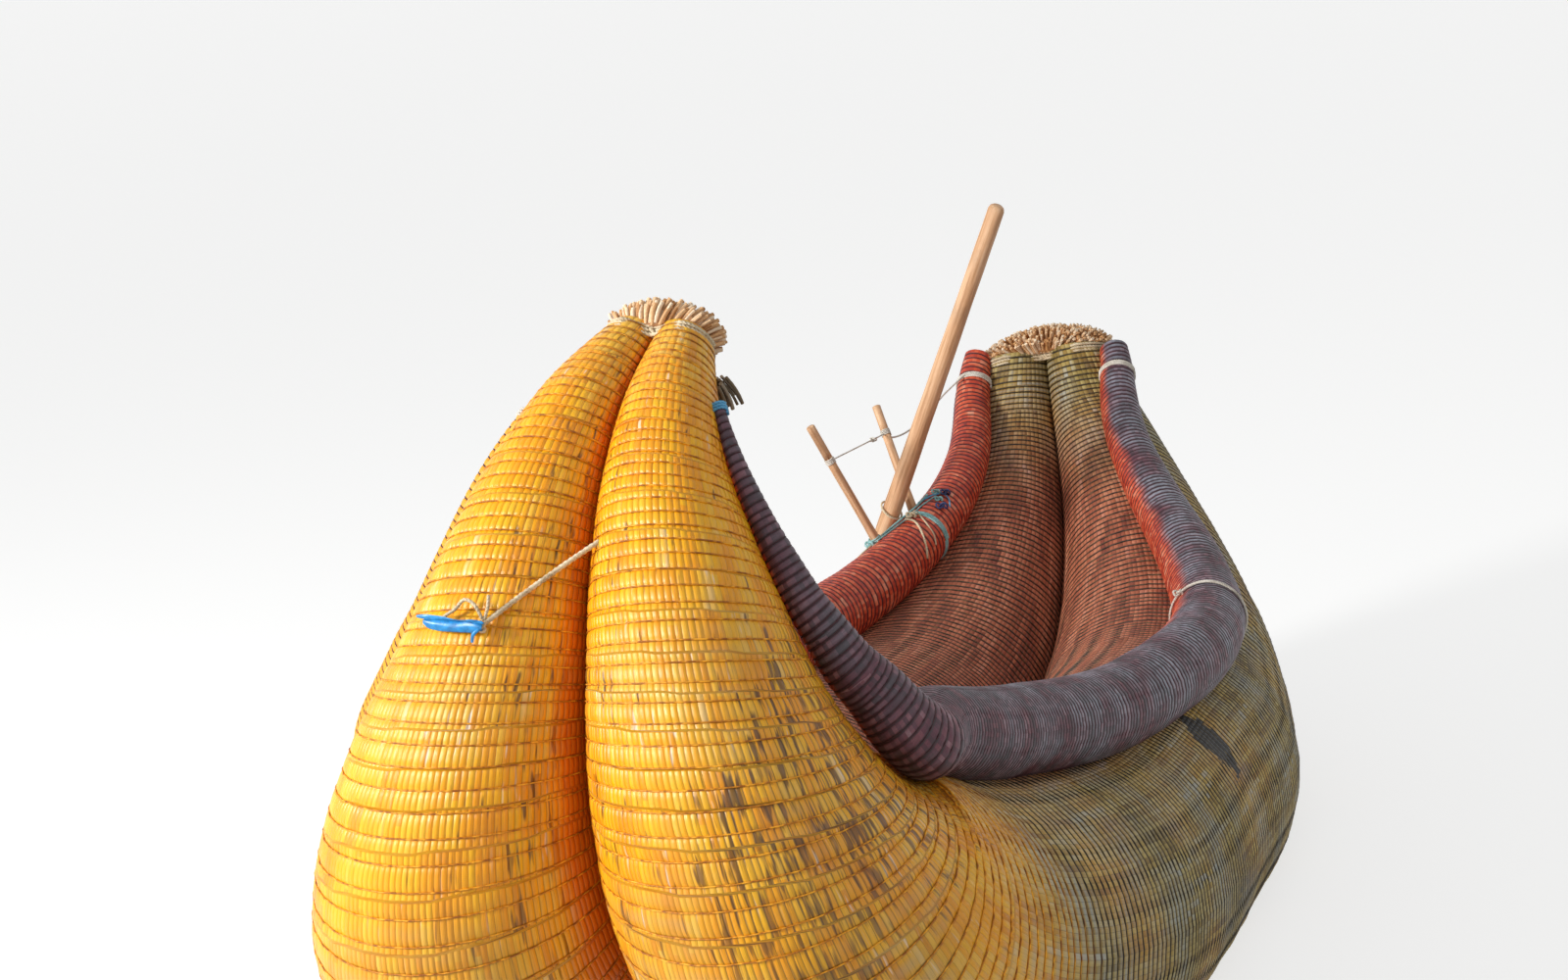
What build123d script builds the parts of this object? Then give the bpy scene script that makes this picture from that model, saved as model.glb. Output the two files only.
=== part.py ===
"""A reed boat: two big tapered bundles of reed, bound side by side and swept up into a high bow and stern.

A slimmer dyed roll runs along the top of each bundle as the gunwale, and the tops of the two bundles are
the floor of the well between them. Each end is cut off square in a brush of reeds behind a tight lashing.
Two stakes driven into the starboard roll make a V for the oar, which swings in a loose rope grommet.

Millimetres. X points to the bow, Y to port, Z up. The origin lies under the middle of the boat, on the
ground that the two bundles stand on.
"""
from build123d import *
import os
from collections import namedtuple
from math import acos, cos, pi, radians, sin, tan

os.makedirs("parts", exist_ok=True)

port, starboard = 1, -1
SIDES = ((port, "port"), (starboard, "starboard"))

# The hull from the stern's tip to the bow's: where its middle passes, and the radius of either bundle.
# The boat was bound by hand and both ends bend to starboard, lean millimetres off the middle.
HullStation = namedtuple("HullStation", "x lean height radius")
HULL_STATIONS = (
    HullStation(-1560, 205, 1322, 96),
    HullStation(-1466, 174, 1110, 136),
    HullStation(-1272, 118, 905, 186),
    HullStation(-973, 56, 706, 250),
    HullStation(-584, 10, 518, 323),
    HullStation(-130, 0, 392, 380),
    HullStation(400, 0, 396, 389),
    HullStation(1000, 12, 396, 390),
    HullStation(1574, 50, 492, 391),
    HullStation(2050, 104, 632, 390),
    HullStation(2336, 147, 820, 364),
    HullStation(2418, 162, 1085, 298),
    HullStation(2378, 160, 1379, 212),
    HullStation(2254, 161, 1639, 146),
    HullStation(2104, 144, 1823, 98),
    HullStation(1955, 117, 1938, 58),
)
seam_pinch = 0.98  # how far each bundle's axis lies from the seam, as a share of its radius
seam_gap = 0.3
hull_sides = 20  # the binding draws the reeds into flats along the bundle

# One gunwale roll from the stern to the bow. out is its distance from the hull's middle beside it.
RollStation = namedtuple("RollStation", "x out height radius")
ROLL_STATIONS = (
    RollStation(-1500, 218, 1330, 44),
    RollStation(-1370, 222, 1200, 56),
    RollStation(-1174, 241, 1075, 64),
    RollStation(-884, 309, 960, 74),
    RollStation(-518, 426, 867, 87),
    RollStation(-80, 545, 800, 97),
    RollStation(417, 570, 794, 100),
    RollStation(946, 525, 839, 103),
    RollStation(1462, 482, 937, 104),
    RollStation(1903, 510, 1055, 98),
    RollStation(2173, 565, 1116, 82),
    RollStation(2247, 496, 1243, 66),
    RollStation(2275, 423, 1374, 49),
    RollStation(2266, 359, 1513, 35),
    RollStation(2234, 295, 1643, 25),
    RollStation(2184, 238, 1751, 18),
    RollStation(2130, 192, 1820, 13),
)
roll_bite = 12.0  # how deep the sewing pulls a roll into its bundle
roll_sides = 16

# The tips: what the cut reeds and the cord round them add past the last station.
tuft_flare = 1.25
tuft_length = 60
tuft_sides = 24
tip_cord = 12
tip_turns = 3
tip_lashing_back = 24

band_sides = 16  # round a roll or a stake
cord_sides = 6
cord_valley = 0.45  # how high two turns meet, as a share of the cord
cord_pitch = 0.85  # from one turn to the next, as a share of the cord
tie_cord = 8
tie_turns = 3
tie_back = 0.3  # share of the last span of a roll at the bow, and of the second at the stern
cord_bite = 3.0  # how deep a tight cord sinks into what it holds

# The two stakes in the starboard roll, a V for the oar, and the cord round their feet.
# along is from the oar's place towards the bow. spread, lean_out and rise are how far a stake reaches
# past the roll, and notch is how far up the stake the cord between the two is tied.
TholeStake = namedtuple("TholeStake", "name along spread lean_out rise notch")
THOLE_STAKES = (
    TholeStake("fore", 160, 130, 125, 370, 290),
    TholeStake("aft", -60, -120, 120, 290, 246),
)
tholes_x = -700
thole_entry_angle = 50  # of a stake's foot round the roll, up from straight outboard
thole_radius = 13
pole_sides = 12
thole_depth = 70
thole_point_radius = 5
thole_foot_radius = 15
thole_flare = 60  # from the roll up to where a stake is straight
thole_chamfer = 2
notch_depth = 1.5
notch_length = 18
notch_turns = 3
wrap_bite = 0.5
stake_cord = 5
stake_knot_share = 0.76  # of the way from the fore stake to the aft one
stake_knot = ((3, -20), (7, -12), (8, 4), (3, 20))
thole_cord = 7
thole_turns = 3

# The oar, whose axis crosses the grommet's middle.
oar_radius = 29
oar_grip_radius = 25
oar_foot_radius = 24
oar_tilt = 27  # from upright, at rest
oar_turn = 16  # of its grip towards the bow, at rest
oar_lift_range = 35
oar_above, oar_below = 1000, 840
oar_grip_length = 300
grommet_cord = 7
grommet_clearance = 2.0
grommet_seat = 0.6
pivot_angle = 45  # of the grommet's middle round the roll, up from straight outboard
blade_length, blade_width, blade_thickness = 420, 130, 18
blade_lap = 170
blade_corner = 40
peg_radius = 6
peg_clearance = 0.15
peg_spacing = 90

# The white cord tied round the port roll.
port_tie_x = -60
port_tie_cord = 11

# The cords that lie or hang free, with the points that each was laid through.
Cord = namedtuple("Cord", "name diameter route")
CORDS = (
    Cord("bow_rope", 12, (
        (2398, -112, 1613),
        (2430, -160, 1586),
        (2462, -212, 1554),
        (2521, -266, 1519),
        (2563, -308, 1489),
    )),
    Cord("stern_guy", 6, (
        (-848, -552, 1212),
        (-905, -545, 1190),
        (-985, -535, 1182),
        (-1068, -524, 1186),
        (-1150, -512, 1199),
        (-1230, -499, 1221),
        (-1314, -476, 1256),
        (-1384, -434, 1292),
    )),
)
rope_knot = ((6, -14), (11, -7), (11, 5), (5, 14))
toggle = ((5, 0), (9, 30), (13, 80), (11, 120), (6, 136))
knot_gap = 0.3
toggle_ends = (2560, -459, 1503), (2586, -299, 1482)


def with_halfways(stations):
    """The stations and one more halfway between each two, on the smooth curve through its four neighbours."""
    finer = []
    for i, (start, end) in enumerate(zip(stations, stations[1:])):
        before = stations[max(i - 1, 0)]
        after = stations[min(i + 2, len(stations) - 1)]
        halfway = [(9 * (b + c) - a - d) / 16 for a, b, c, d in zip(before, start, end, after)]
        finer += [start, type(start)(*halfway)]
    return finer + [stations[-1]]


HULL = with_halfways(HULL_STATIONS)
ROLL = with_halfways(ROLL_STATIONS)


def beside(point, line):
    """The nearest place on a line through points that each carry a size, and the size there."""
    found = None
    for (start, start_size), (end, end_size) in zip(line, line[1:]):
        span = end - start
        share = min(1, max(0, (point - start).dot(span) / span.dot(span)))
        place = start + span * share
        if found is None or (point - place).length < (point - found[0]).length:
            found = place, start_size + (end_size - start_size) * share
    return found


def station_planes(points):
    """A plane across the line through the points at each of them, with its own X to port."""
    planes = []
    for i, point in enumerate(points):
        behind = points[max(i - 1, 0)]
        ahead = points[min(i + 1, len(points) - 1)]
        planes.append(Plane(point, x_dir=(0, 1, 0), z_dir=ahead - behind))
    return planes


hull_planes = station_planes([Vector(s.x, -s.lean, s.height) for s in HULL])
middle_line = [(Vector(s.x, 0, s.height), s.lean) for s in HULL]


def hull_axis(side):
    """One bundle's axis and radius at each station."""
    return [
        (plane.from_local_coords(Vector(side * station.radius * seam_pinch, 0, 0)), station.radius)
        for station, plane in zip(HULL, hull_planes)
    ]


def roll_centre(side, station):
    """A roll's centre, moved straight out from its bundle's axis until the roll just bites into it."""
    _, lean = beside(Vector(station.x, 0, station.height), middle_line)
    wanted = Vector(station.x, side * station.out - lean, station.height)
    foot, hull_radius = beside(wanted, hull_axis(side))
    return foot + (wanted - foot).normalized() * (hull_radius + station.radius - roll_bite)


ROLL_CENTRES = {side: [roll_centre(side, station) for station in ROLL] for side, _ in SIDES}


def on_roll(side, i, share):
    """A plane across a roll, a share of the way from station i to the next, and the roll's radius there."""
    start, end = ROLL_CENTRES[side][i], ROLL_CENTRES[side][i + 1]
    radius = ROLL[i].radius * (1 - share) + ROLL[i + 1].radius * share
    return Plane(start + (end - start) * share, x_dir=(0, 1, 0), z_dir=end - start), radius


def on_roll_at(side, x):
    """The same at an x on the level part of a roll."""
    centres = ROLL_CENTRES[side]
    i = next(i for i, end in enumerate(centres) if end.X > x) - 1
    return on_roll(side, i, (x - centres[i].X) / (centres[i + 1].X - centres[i].X))


def faceted(planes, sections):
    """A solid of small flat faces through many-sided outlines, each with as many corners as the next."""
    rings = []
    for plane, corners in zip(planes, sections):
        rings.append([plane.from_local_coords(Vector(*corner)) for corner in corners])
    faces = [Face(Wire.make_polygon(ring)) for ring in (rings[0], rings[-1])]
    for near, far in zip(rings, rings[1:]):
        for i in range(len(near)):
            faces.append(Face(Wire.make_polygon((near[i - 1], near[i], far[i]))))
            faces.append(Face(Wire.make_polygon((near[i - 1], far[i], far[i - 1]))))
    return Solid(Shell(faces))


def bays(planes, sections, first):
    """A long bundle as solids end to end, each nearly straight: the first bay ends at station first,
    and each later one runs over two spans."""
    starts = [0, *range(first, len(planes) - 1, 2)]
    ends = [*starts[1:], len(planes) - 1]
    return Compound(children=[faceted(planes[i : j + 1], sections[i : j + 1]) for i, j in zip(starts, ends)])


def oval(radius, sides, half=0, height=None):
    """Corners of a many-sided circle; half parts its two sides, and height makes it an ellipse."""
    corners = []
    for i in range(sides):
        turn = (i + 0.5) * 2 * pi / sides
        shift = half if cos(turn) > 0 else -half
        corners.append((shift + radius * cos(turn), (height or radius) * sin(turn)))
    return corners


def hull_bundle(side):
    """One bundle of the hull: round, but pressed flat where it meets its twin."""
    opening = acos(seam_pinch)
    turns = [opening + (2 * pi - 2 * opening) * i / hull_sides for i in range(hull_sides + 1)]
    sections = []
    for station in HULL:
        across = [side * (seam_gap / 2 + station.radius * (seam_pinch - cos(turn))) for turn in turns]
        sections.append([(x, station.radius * sin(turn)) for x, turn in zip(across, turns)])
    return bays(hull_planes, sections, first=2)


def gunwale_roll(side):
    """The dyed roll along the top of one bundle, tapered towards both ends."""
    sections = [oval(station.radius, roll_sides) for station in ROLL]
    return bays(station_planes(ROLL_CENTRES[side]), sections, first=1)


def tuft(tip, inner):
    """The brush of cut reed ends past a tip; it bends to the inside of the boat."""
    station, plane = HULL[tip], hull_planes[tip]
    outwards = 1 if tip else -1
    planes, sections = [], []
    for share, scale, bend in ((0.0, 1.0, 0), (0.5, 1.12, 6), (1.0, tuft_flare, 15)):
        middle = plane.offset(outwards * (seam_gap + tuft_length * share)).origin
        leaning = plane.z_dir.rotate(Axis(plane.origin, plane.x_dir), inner * bend)
        planes.append(Plane(middle, x_dir=plane.x_dir, z_dir=leaning))
        width = station.radius * (1 + seam_pinch) * scale
        sections.append(oval(width, tuft_sides, height=station.radius * scale))
    return faceted(planes[::outwards], sections[::outwards])


def band(plane, outside, inside, half=0):
    """A closed band round the plane's axis. Its outside and inside each go through heights and radii."""
    with BuildPart() as ring:
        for levels, mode in ((outside, Mode.ADD), (inside, Mode.SUBTRACT)):
            planes = [plane.offset(height) for height, _ in levels]
            add(faceted(planes, [oval(radius, band_sides, half) for _, radius in levels]), mode=mode)
    return ring.part


def wound(plane, inner_radius, cord, turns, half=0):
    """Turns of cord side by side, as one band with a rippled outside."""
    step = cord * cord_pitch / 2
    outside = []
    for i in range(2 * turns + 1):
        outside.append(((i - turns) * step, inner_radius + cord * (1 if i % 2 else cord_valley)))
    past_ends = (turns + 1) * step
    return band(plane, outside, [(-past_ends, inner_radius), (past_ends, inner_radius)], half)


def tip_lashing(tip):
    """Turns of rope round both bundles, just behind the cut ends."""
    station, plane = HULL[tip], hull_planes[tip]
    inwards = -1 if tip else 1
    neighbour = HULL[tip + inwards]
    growth = (neighbour.radius - station.radius) / (hull_planes[tip + inwards].origin - plane.origin).length
    lobe = station.radius + growth * tip_lashing_back - cord_bite
    middle = plane.offset(inwards * tip_lashing_back)
    return wound(middle, lobe, tip_cord, tip_turns, half=station.radius * seam_pinch)


def roll_tie(place, cord, turns):
    plane, radius = place
    return wound(plane, radius - cord_bite, cord, turns)


def shaved(plane, profile):
    """A pole shaved to flats along the plane's axis, through the profile's radii and heights."""
    planes = [plane.offset(height) for _, height in profile]
    return faceted(planes, [oval(radius, pole_sides) for radius, _ in profile])


def round_roll(angle):
    """Across the starboard roll, up from straight outboard by the angle."""
    return Vector(0, -cos(radians(angle)), sin(radians(angle)))


# Where the oar works: the roll there, and the middle of the grommet beside it.
thole_plane, thole_roll_radius = on_roll_at(starboard, tholes_x)
grommet_inner = (oar_radius + grommet_clearance) / cos(pi / band_sides)
pivot_reach = thole_roll_radius - cord_bite + thole_cord + grommet_inner + grommet_cord
pivot_reach = pivot_reach * cos(pi / band_sides) + grommet_seat
pivot = thole_plane.origin + round_roll(pivot_angle) * pivot_reach
grip_side = Vector(sin(radians(oar_turn)), cos(radians(oar_turn)), 0)


def tilted(angle):
    """The direction that leans from upright by the angle, in the oar's own upright plane."""
    return grip_side * sin(radians(angle)) + Vector(0, 0, cos(radians(angle)))


lift_axis = Vector(0, 0, 1).cross(grip_side)
oar_plane = Plane(pivot, x_dir=lift_axis, z_dir=tilted(oar_tilt))


def thole_foot(stake):
    """Where a stake goes into the roll, with the plane's Z along the stake, and the length that stands out."""
    plane, radius = on_roll_at(starboard, tholes_x + stake.along)
    direction = Vector(stake.spread, -stake.lean_out, stake.rise)
    return Plane(plane.origin + round_roll(thole_entry_angle) * radius, z_dir=direction), direction.length


def thole(stake):
    """A stake driven into the roll's shoulder, leaning out over the water and away from its twin.

    It is sharpened below, stout at the roll, and notched for the cord that holds the two apart.
    """
    foot, length = thole_foot(stake)
    notch_start = stake.notch - notch_length / 2
    notch_end = notch_start + notch_length
    point = (
        (thole_point_radius, -thole_depth),
        (thole_foot_radius, -thole_depth / 3),
        (thole_foot_radius, 0),
        (thole_radius, thole_flare),
        (thole_radius, notch_start),
        (thole_radius - notch_depth, notch_start + notch_depth),
        (thole_radius - notch_depth, notch_end),
    )
    with BuildPart() as pole:
        add(shaved(foot, point))
        with BuildSketch(foot.offset(notch_end)):
            Circle(thole_radius)
        extrude(amount=length - notch_end)
        chamfer(pole.edges().sort_by(Axis.Z)[-1], thole_chamfer)
    return pole.part


def notch_plane(stake):
    foot, _ = thole_foot(stake)
    return foot.offset(stake.notch)


def thole_wrap(stake):
    """The cord wound in a stake's notch."""
    return wound(notch_plane(stake), thole_radius - notch_depth - wrap_bite, stake_cord, notch_turns)


def stake_cord_plane():
    """At the fore stake's wrap, with Z along the tight cord to the aft one, and the distance between them."""
    fore, aft = (notch_plane(stake).origin for stake in THOLE_STAKES)
    return Plane(fore, z_dir=aft - fore), (aft - fore).length


def tight_stake_cord():
    """The cord that holds the stakes from spreading, from the outside of one wrap to the other."""
    plane, length = stake_cord_plane()
    start = thole_radius + stake_cord / 2
    with BuildPart() as cord:
        with BuildSketch(plane.offset(start)):
            RegularPolygon(stake_cord / 2, pole_sides)
        extrude(amount=length - 2 * start)
    return cord.part


def stake_cord_knot():
    """The flat knot that takes up the slack of the tight cord."""
    plane, length = stake_cord_plane()
    return shaved(plane.offset(length * stake_knot_share), stake_knot)


def peg_plane():
    """Across the blade and the flat of the shaft, in the middle of where they lap."""
    middle = oar_plane.offset(-oar_below + blade_lap / 2)
    return Plane(middle.origin, x_dir=oar_plane.z_dir, z_dir=oar_plane.x_dir)


def oar_shaft():
    """A peeled pole, thickest at the grommet, flattened at its foot where the blade is pegged on."""
    grip_start = oar_above - oar_grip_length
    with BuildPart() as shaft:
        add(shaved(oar_plane, ((oar_foot_radius, -oar_below), (oar_radius, 0), (oar_grip_radius, grip_start))))
        with BuildSketch(oar_plane.offset(grip_start)):
            Circle(oar_grip_radius)
        extrude(amount=oar_grip_length)
        fillet(shaft.edges().sort_by(Axis.Z)[-1], oar_grip_radius * 0.6)
        with BuildSketch(oar_plane.offset(-oar_below)):
            with Locations((oar_radius, 0)):
                Rectangle(oar_radius * 2, oar_radius * 3)
        extrude(amount=blade_lap, mode=Mode.SUBTRACT)
        with Locations(peg_plane()):
            with GridLocations(peg_spacing, 0, 2, 1):
                Cylinder(peg_radius + peg_clearance, oar_radius * 3, mode=Mode.SUBTRACT)
    return shaft.part


def oar_blade():
    """A thin board laid on the flat at the shaft's foot, its lower corners rounded off."""
    lap_end = Plane(
        oar_plane.offset(-oar_below + blade_lap).origin, x_dir=-oar_plane.y_dir, z_dir=oar_plane.x_dir
    )
    with BuildPart() as blade:
        with BuildSketch(lap_end):
            with Locations((0, blade_length / 2)):
                Rectangle(blade_width, blade_length)
        extrude(amount=blade_thickness)
        fillet(blade.edges().filter_by(Axis(lap_end.origin, lap_end.z_dir)).sort_by(Axis.Z)[:2], blade_corner)
        with Locations(peg_plane()):
            with GridLocations(peg_spacing, 0, 2, 1):
                Cylinder(peg_radius + peg_clearance, blade_thickness * 3, mode=Mode.SUBTRACT)
    return blade.part


def oar_pegs():
    """The two wooden pegs through the blade and the shaft, each with a slightly proud end."""
    back = -oar_foot_radius
    with BuildPart() as pegs:
        with BuildSketch(peg_plane().offset(back)):
            with GridLocations(peg_spacing, 0, 2, 1):
                Circle(peg_radius)
        extrude(amount=blade_thickness - back + 3)
    return pegs.part


def grommet():
    """The loose rope ring that the oar works in; it stands across the middle of the oar's lift."""
    across = Plane(pivot, x_dir=lift_axis, z_dir=tilted(oar_tilt + oar_lift_range / 2))
    edge, flat = grommet_cord / 2, grommet_cord / 5
    bevel = grommet_cord / 3
    levels = (-edge, bevel), (-flat, 0), (flat, 0), (edge, bevel)
    outer = grommet_inner + grommet_cord
    outside = [(height, outer - inset) for height, inset in levels]
    return band(across, outside, [(height, grommet_inner + inset) for height, inset in levels])


def bend_radii(route):
    """The largest arc at each inner point of a cord's route: 0.45 of the shorter run over tan(half the turn)."""
    points = [Vector(*point) for point in route]
    radii = []
    for before, point, after in zip(points, points[1:], points[2:]):
        run_in, run_out = point - before, after - point
        shorter = min(run_in.length, run_out.length)
        radii.append(0.45 * shorter / tan(radians(run_in.get_angle(run_out) / 2)))
    return radii


def free_cord(cord):
    """A cord as a tube through straight runs and tangent arcs."""
    with BuildPart() as tube:
        with BuildLine() as path:
            FilletPolyline(*cord.route, radius=bend_radii(cord.route))
        with BuildSketch(Plane(path.line @ 0, z_dir=path.line % 0)):
            RegularPolygon(cord.diameter / 2, cord_sides)
        sweep()
    return tube.part


def bow_rope_knot():
    """The knot at the end of the bow rope, that holds the toggle."""
    before, end = (Vector(*point) for point in CORDS[0].route[-2:])
    return shaved(Plane(end, z_dir=end - before).offset(-rope_knot[0][1] + knot_gap), rope_knot)


def bow_toggle():
    """The strip of blue plastic tied to the bow rope."""
    start, end = (Vector(*point) for point in toggle_ends)
    return shaved(Plane(start, z_dir=end - start), toggle)


PIECES = {}
for side, side_name in SIDES:
    PIECES[f"hull_bundle_{side_name}"] = hull_bundle(side)
    PIECES[f"gunwale_roll_{side_name}"] = gunwale_roll(side)
    bow_end = on_roll(side, len(ROLL) - 2, 1 - tie_back)
    PIECES[f"roll_tie_bow_{side_name}"] = roll_tie(bow_end, tie_cord, tie_turns)
    PIECES[f"roll_tie_stern_{side_name}"] = roll_tie(on_roll(side, 1, tie_back), tie_cord, tie_turns)
PIECES["bow_tuft"] = tuft(-1, -1)
PIECES["stern_tuft"] = tuft(0, 1)
PIECES["bow_tip_lashing"] = tip_lashing(-1)
PIECES["stern_tip_lashing"] = tip_lashing(0)
PIECES["port_roll_tie"] = roll_tie(on_roll_at(port, port_tie_x), port_tie_cord, 1)
for stake in THOLE_STAKES:
    PIECES[f"thole_{stake.name}"] = thole(stake)
    PIECES[f"thole_wrap_{stake.name}"] = thole_wrap(stake)
PIECES["thole_lashing"] = roll_tie((thole_plane, thole_roll_radius), thole_cord, thole_turns)
PIECES["oar_shaft"] = oar_shaft()
PIECES["oar_blade"] = oar_blade()
PIECES["oar_pegs"] = oar_pegs()
PIECES["oar_grommet"] = grommet()
PIECES["tight_stake_cord"] = tight_stake_cord()
PIECES["stake_cord_knot"] = stake_cord_knot()
for cord in CORDS:
    PIECES[cord.name] = free_cord(cord)
PIECES["bow_rope_knot"] = bow_rope_knot()
PIECES["bow_toggle"] = bow_toggle()

for name, piece in PIECES.items():
    piece.label = name
    export_step(piece, f"parts/{name}.step")

for cord in CORDS:
    print(cord.name, "radii", [round(radius) for radius in bend_radii(cord.route)])
    section = cord_sides / 2 * (cord.diameter / 2) ** 2 * sin(2 * pi / cord_sides)
    print("volume over section", round(PIECES[cord.name].volume / section))
print("pivot", pivot, "lift axis", lift_axis, "roll at the tholes", thole_plane.origin, thole_roll_radius)
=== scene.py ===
"""The looks of the reed boat: bound reeds, dyed gunwale rolls, laid ropes and peeled poles, in metres."""
import random
from math import cos, pi, radians, sin

import bpy
from mathutils import Matrix, Vector, noise


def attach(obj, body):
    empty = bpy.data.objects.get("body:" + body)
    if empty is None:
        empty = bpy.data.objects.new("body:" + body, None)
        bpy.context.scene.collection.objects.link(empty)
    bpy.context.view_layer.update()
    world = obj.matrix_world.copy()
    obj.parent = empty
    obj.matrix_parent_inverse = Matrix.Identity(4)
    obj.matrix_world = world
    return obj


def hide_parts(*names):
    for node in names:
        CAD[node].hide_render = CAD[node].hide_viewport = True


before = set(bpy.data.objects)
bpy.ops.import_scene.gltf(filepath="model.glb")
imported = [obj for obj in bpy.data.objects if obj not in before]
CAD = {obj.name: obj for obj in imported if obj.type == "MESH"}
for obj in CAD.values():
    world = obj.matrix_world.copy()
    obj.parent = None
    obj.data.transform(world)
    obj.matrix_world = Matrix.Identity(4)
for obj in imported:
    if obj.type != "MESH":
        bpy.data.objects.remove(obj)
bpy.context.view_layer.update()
scene = bpy.context.scene
MM = 0.001
port, starboard = 1, -1
SIDES = ((port, "port"), (starboard, "starboard"))

# The camera, in the boat's own frame.
camera_place = Vector((8.02, 2.2577, 2.8079))
camera_right = Vector((-0.31399, 0.94422, -0.09924))
camera_up = Vector((-0.20549, 0.03446, 0.97805))
lens = bpy.data.cameras.new("camera")
lens.lens, lens.sensor_width, lens.clip_end = 72.65, 36, 2000
camera = bpy.data.objects.new("camera", lens)
scene.collection.objects.link(camera)
camera_back = camera_right.cross(camera_up)
camera.matrix_world = Matrix.Translation(camera_place) @ Matrix(
    (camera_right, camera_up, camera_back)
).transposed().to_4x4()
scene.camera = camera
scene.view_settings.view_transform = "Standard"


def linear(hex_colour):
    """An sRGB hex colour as linear red, green, blue and alpha."""
    parts = [int(hex_colour[i : i + 2], 16) / 255 for i in (1, 3, 5)]
    return [p / 12.92 if p <= 0.04045 else ((p + 0.055) / 1.055) ** 2.4 for p in parts] + [1]


def in_use(sockets, name=None):
    """The first socket that a node's settings leave in use, or the one with this name."""
    return next(socket for socket in sockets if socket.enabled and name in (None, socket.name))


def feed(socket, value):
    """Gives a socket a plain value, another socket, or the first output of a node."""
    if isinstance(value, bpy.types.Node):
        value = in_use(value.outputs)
    if isinstance(value, bpy.types.NodeSocket):
        socket.id_data.links.new(value, socket)
    else:
        socket.default_value = value


def adder(tree):
    """The function that adds a node to this tree."""

    def add(kind, *inputs, **settings):
        """Adds a node with its settings. Its inputs come in their order, or by their names in one dict."""
        kind, usual = (kind, {}) if isinstance(kind, str) else kind
        node = tree.nodes.new(kind)
        for name, value in {**usual, **settings}.items():
            setattr(node, name, value)
        if inputs and isinstance(inputs[0], dict):
            pairs = [(in_use(node.inputs, name), value) for name, value in inputs[0].items()]
        else:
            pairs = zip([socket for socket in node.inputs if socket.enabled], inputs)
        for socket, value in pairs:
            feed(socket, value)
        return node

    return add


def operations(kind, *names):
    """The kinds of a node that differ in their operation alone."""
    return [(kind, {"operation": name}) for name in names]


PLUS, MINUS, TIMES, OVER, TIMES_PLUS, POWER, SNAP, LARGER = operations(
    "ShaderNodeMath", "ADD", "SUBTRACT", "MULTIPLY", "DIVIDE", "MULTIPLY_ADD", "POWER", "SNAP", "MAXIMUM")
BELOW, ABOVE, UNSIGNED, FRACTION, FLOORED, SINE, COSINE, ARCTAN2 = operations(
    "ShaderNodeMath", "LESS_THAN", "GREATER_THAN", "ABSOLUTE", "FRACT", "FLOOR", "SINE", "COSINE", "ARCTAN2")
V_PLUS, V_MINUS, V_TIMES, V_SCALED, V_LENGTH, V_UNIT, V_CROSS, V_DOT = operations(
    "ShaderNodeVectorMath", "ADD", "SUBTRACT", "MULTIPLY", "SCALE", "LENGTH", "NORMALIZE", "CROSS_PRODUCT",
    "DOT_PRODUCT")
MIX = ("ShaderNodeMix", {"data_type": "RGBA"})
RAMP, SPLIT, JOINED = "ShaderNodeValToRGB", "ShaderNodeSeparateXYZ", "ShaderNodeCombineXYZ"
# A range's inputs are the value, the two ends that it comes from and the two that it goes to.
RANGE = "ShaderNodeMapRange"
# A noise's inputs are its place, scale, detail and roughness.
NOISE, WHITE_NOISE = "ShaderNodeTexNoise", "ShaderNodeTexWhiteNoise"


# The boat's lines, as the part has them: the hull's middle and either bundle's radius, and a roll's places.
HULL_STATIONS = (
    (-1560, 205, 1322, 96), (-1466, 174, 1110, 136), (-1272, 118, 905, 186), (-973, 56, 706, 250),
    (-584, 10, 518, 323), (-130, 0, 392, 380), (400, 0, 396, 389), (1000, 12, 396, 390),
    (1574, 50, 492, 391), (2050, 104, 632, 390), (2336, 147, 820, 364), (2418, 162, 1085, 298),
    (2378, 160, 1379, 212), (2254, 161, 1639, 146), (2104, 144, 1823, 98), (1955, 117, 1938, 58),
)
ROLL_STATIONS = (
    (-1500, 218, 1330, 44), (-1370, 222, 1200, 56), (-1174, 241, 1075, 64), (-884, 309, 960, 74),
    (-518, 426, 867, 87), (-80, 545, 800, 97), (417, 570, 794, 100), (946, 525, 839, 103),
    (1462, 482, 937, 104), (1903, 510, 1055, 98), (2173, 565, 1116, 82), (2247, 496, 1243, 66),
    (2275, 423, 1374, 49), (2266, 359, 1513, 35), (2234, 295, 1643, 25), (2184, 238, 1751, 18),
    (2130, 192, 1820, 13),
)
seam_pinch = 0.98
seam_gap = 0.3 * MM
roll_bite = 12 * MM
cord_bite = 3 * MM


def with_halfways(stations):
    """The stations and one more halfway between each two, on the smooth curve through four neighbours."""
    finer = []
    for i, (start, end) in enumerate(zip(stations, stations[1:])):
        before = stations[max(i - 1, 0)]
        after = stations[min(i + 2, len(stations) - 1)]
        halfway = [(9 * (b + c) - a - d) / 16 for a, b, c, d in zip(before, start, end, after)]
        finer += [start, halfway]
    return finer + [stations[-1]]


HULL = [[value * MM for value in station] for station in with_halfways(HULL_STATIONS)]
ROLL = [[value * MM for value in station] for station in with_halfways(ROLL_STATIONS)]


def across(place, along):
    """A plane's place, its own X to port, its own Y and the direction that it faces."""
    z = along.normalized()
    x = (Vector((0, 1, 0)) - z * z.y).normalized()
    return place, x, z.cross(x), z


def station_planes(points):
    """A plane across the line through the points at each of them."""
    ends = range(len(points))
    return [across(points[i], points[min(i + 1, ends[-1])] - points[max(i - 1, 0)]) for i in ends]


def on_plane(plane, x, y, z=0.0):
    return plane[0] + plane[1] * x + plane[2] * y + plane[3] * z


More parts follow.
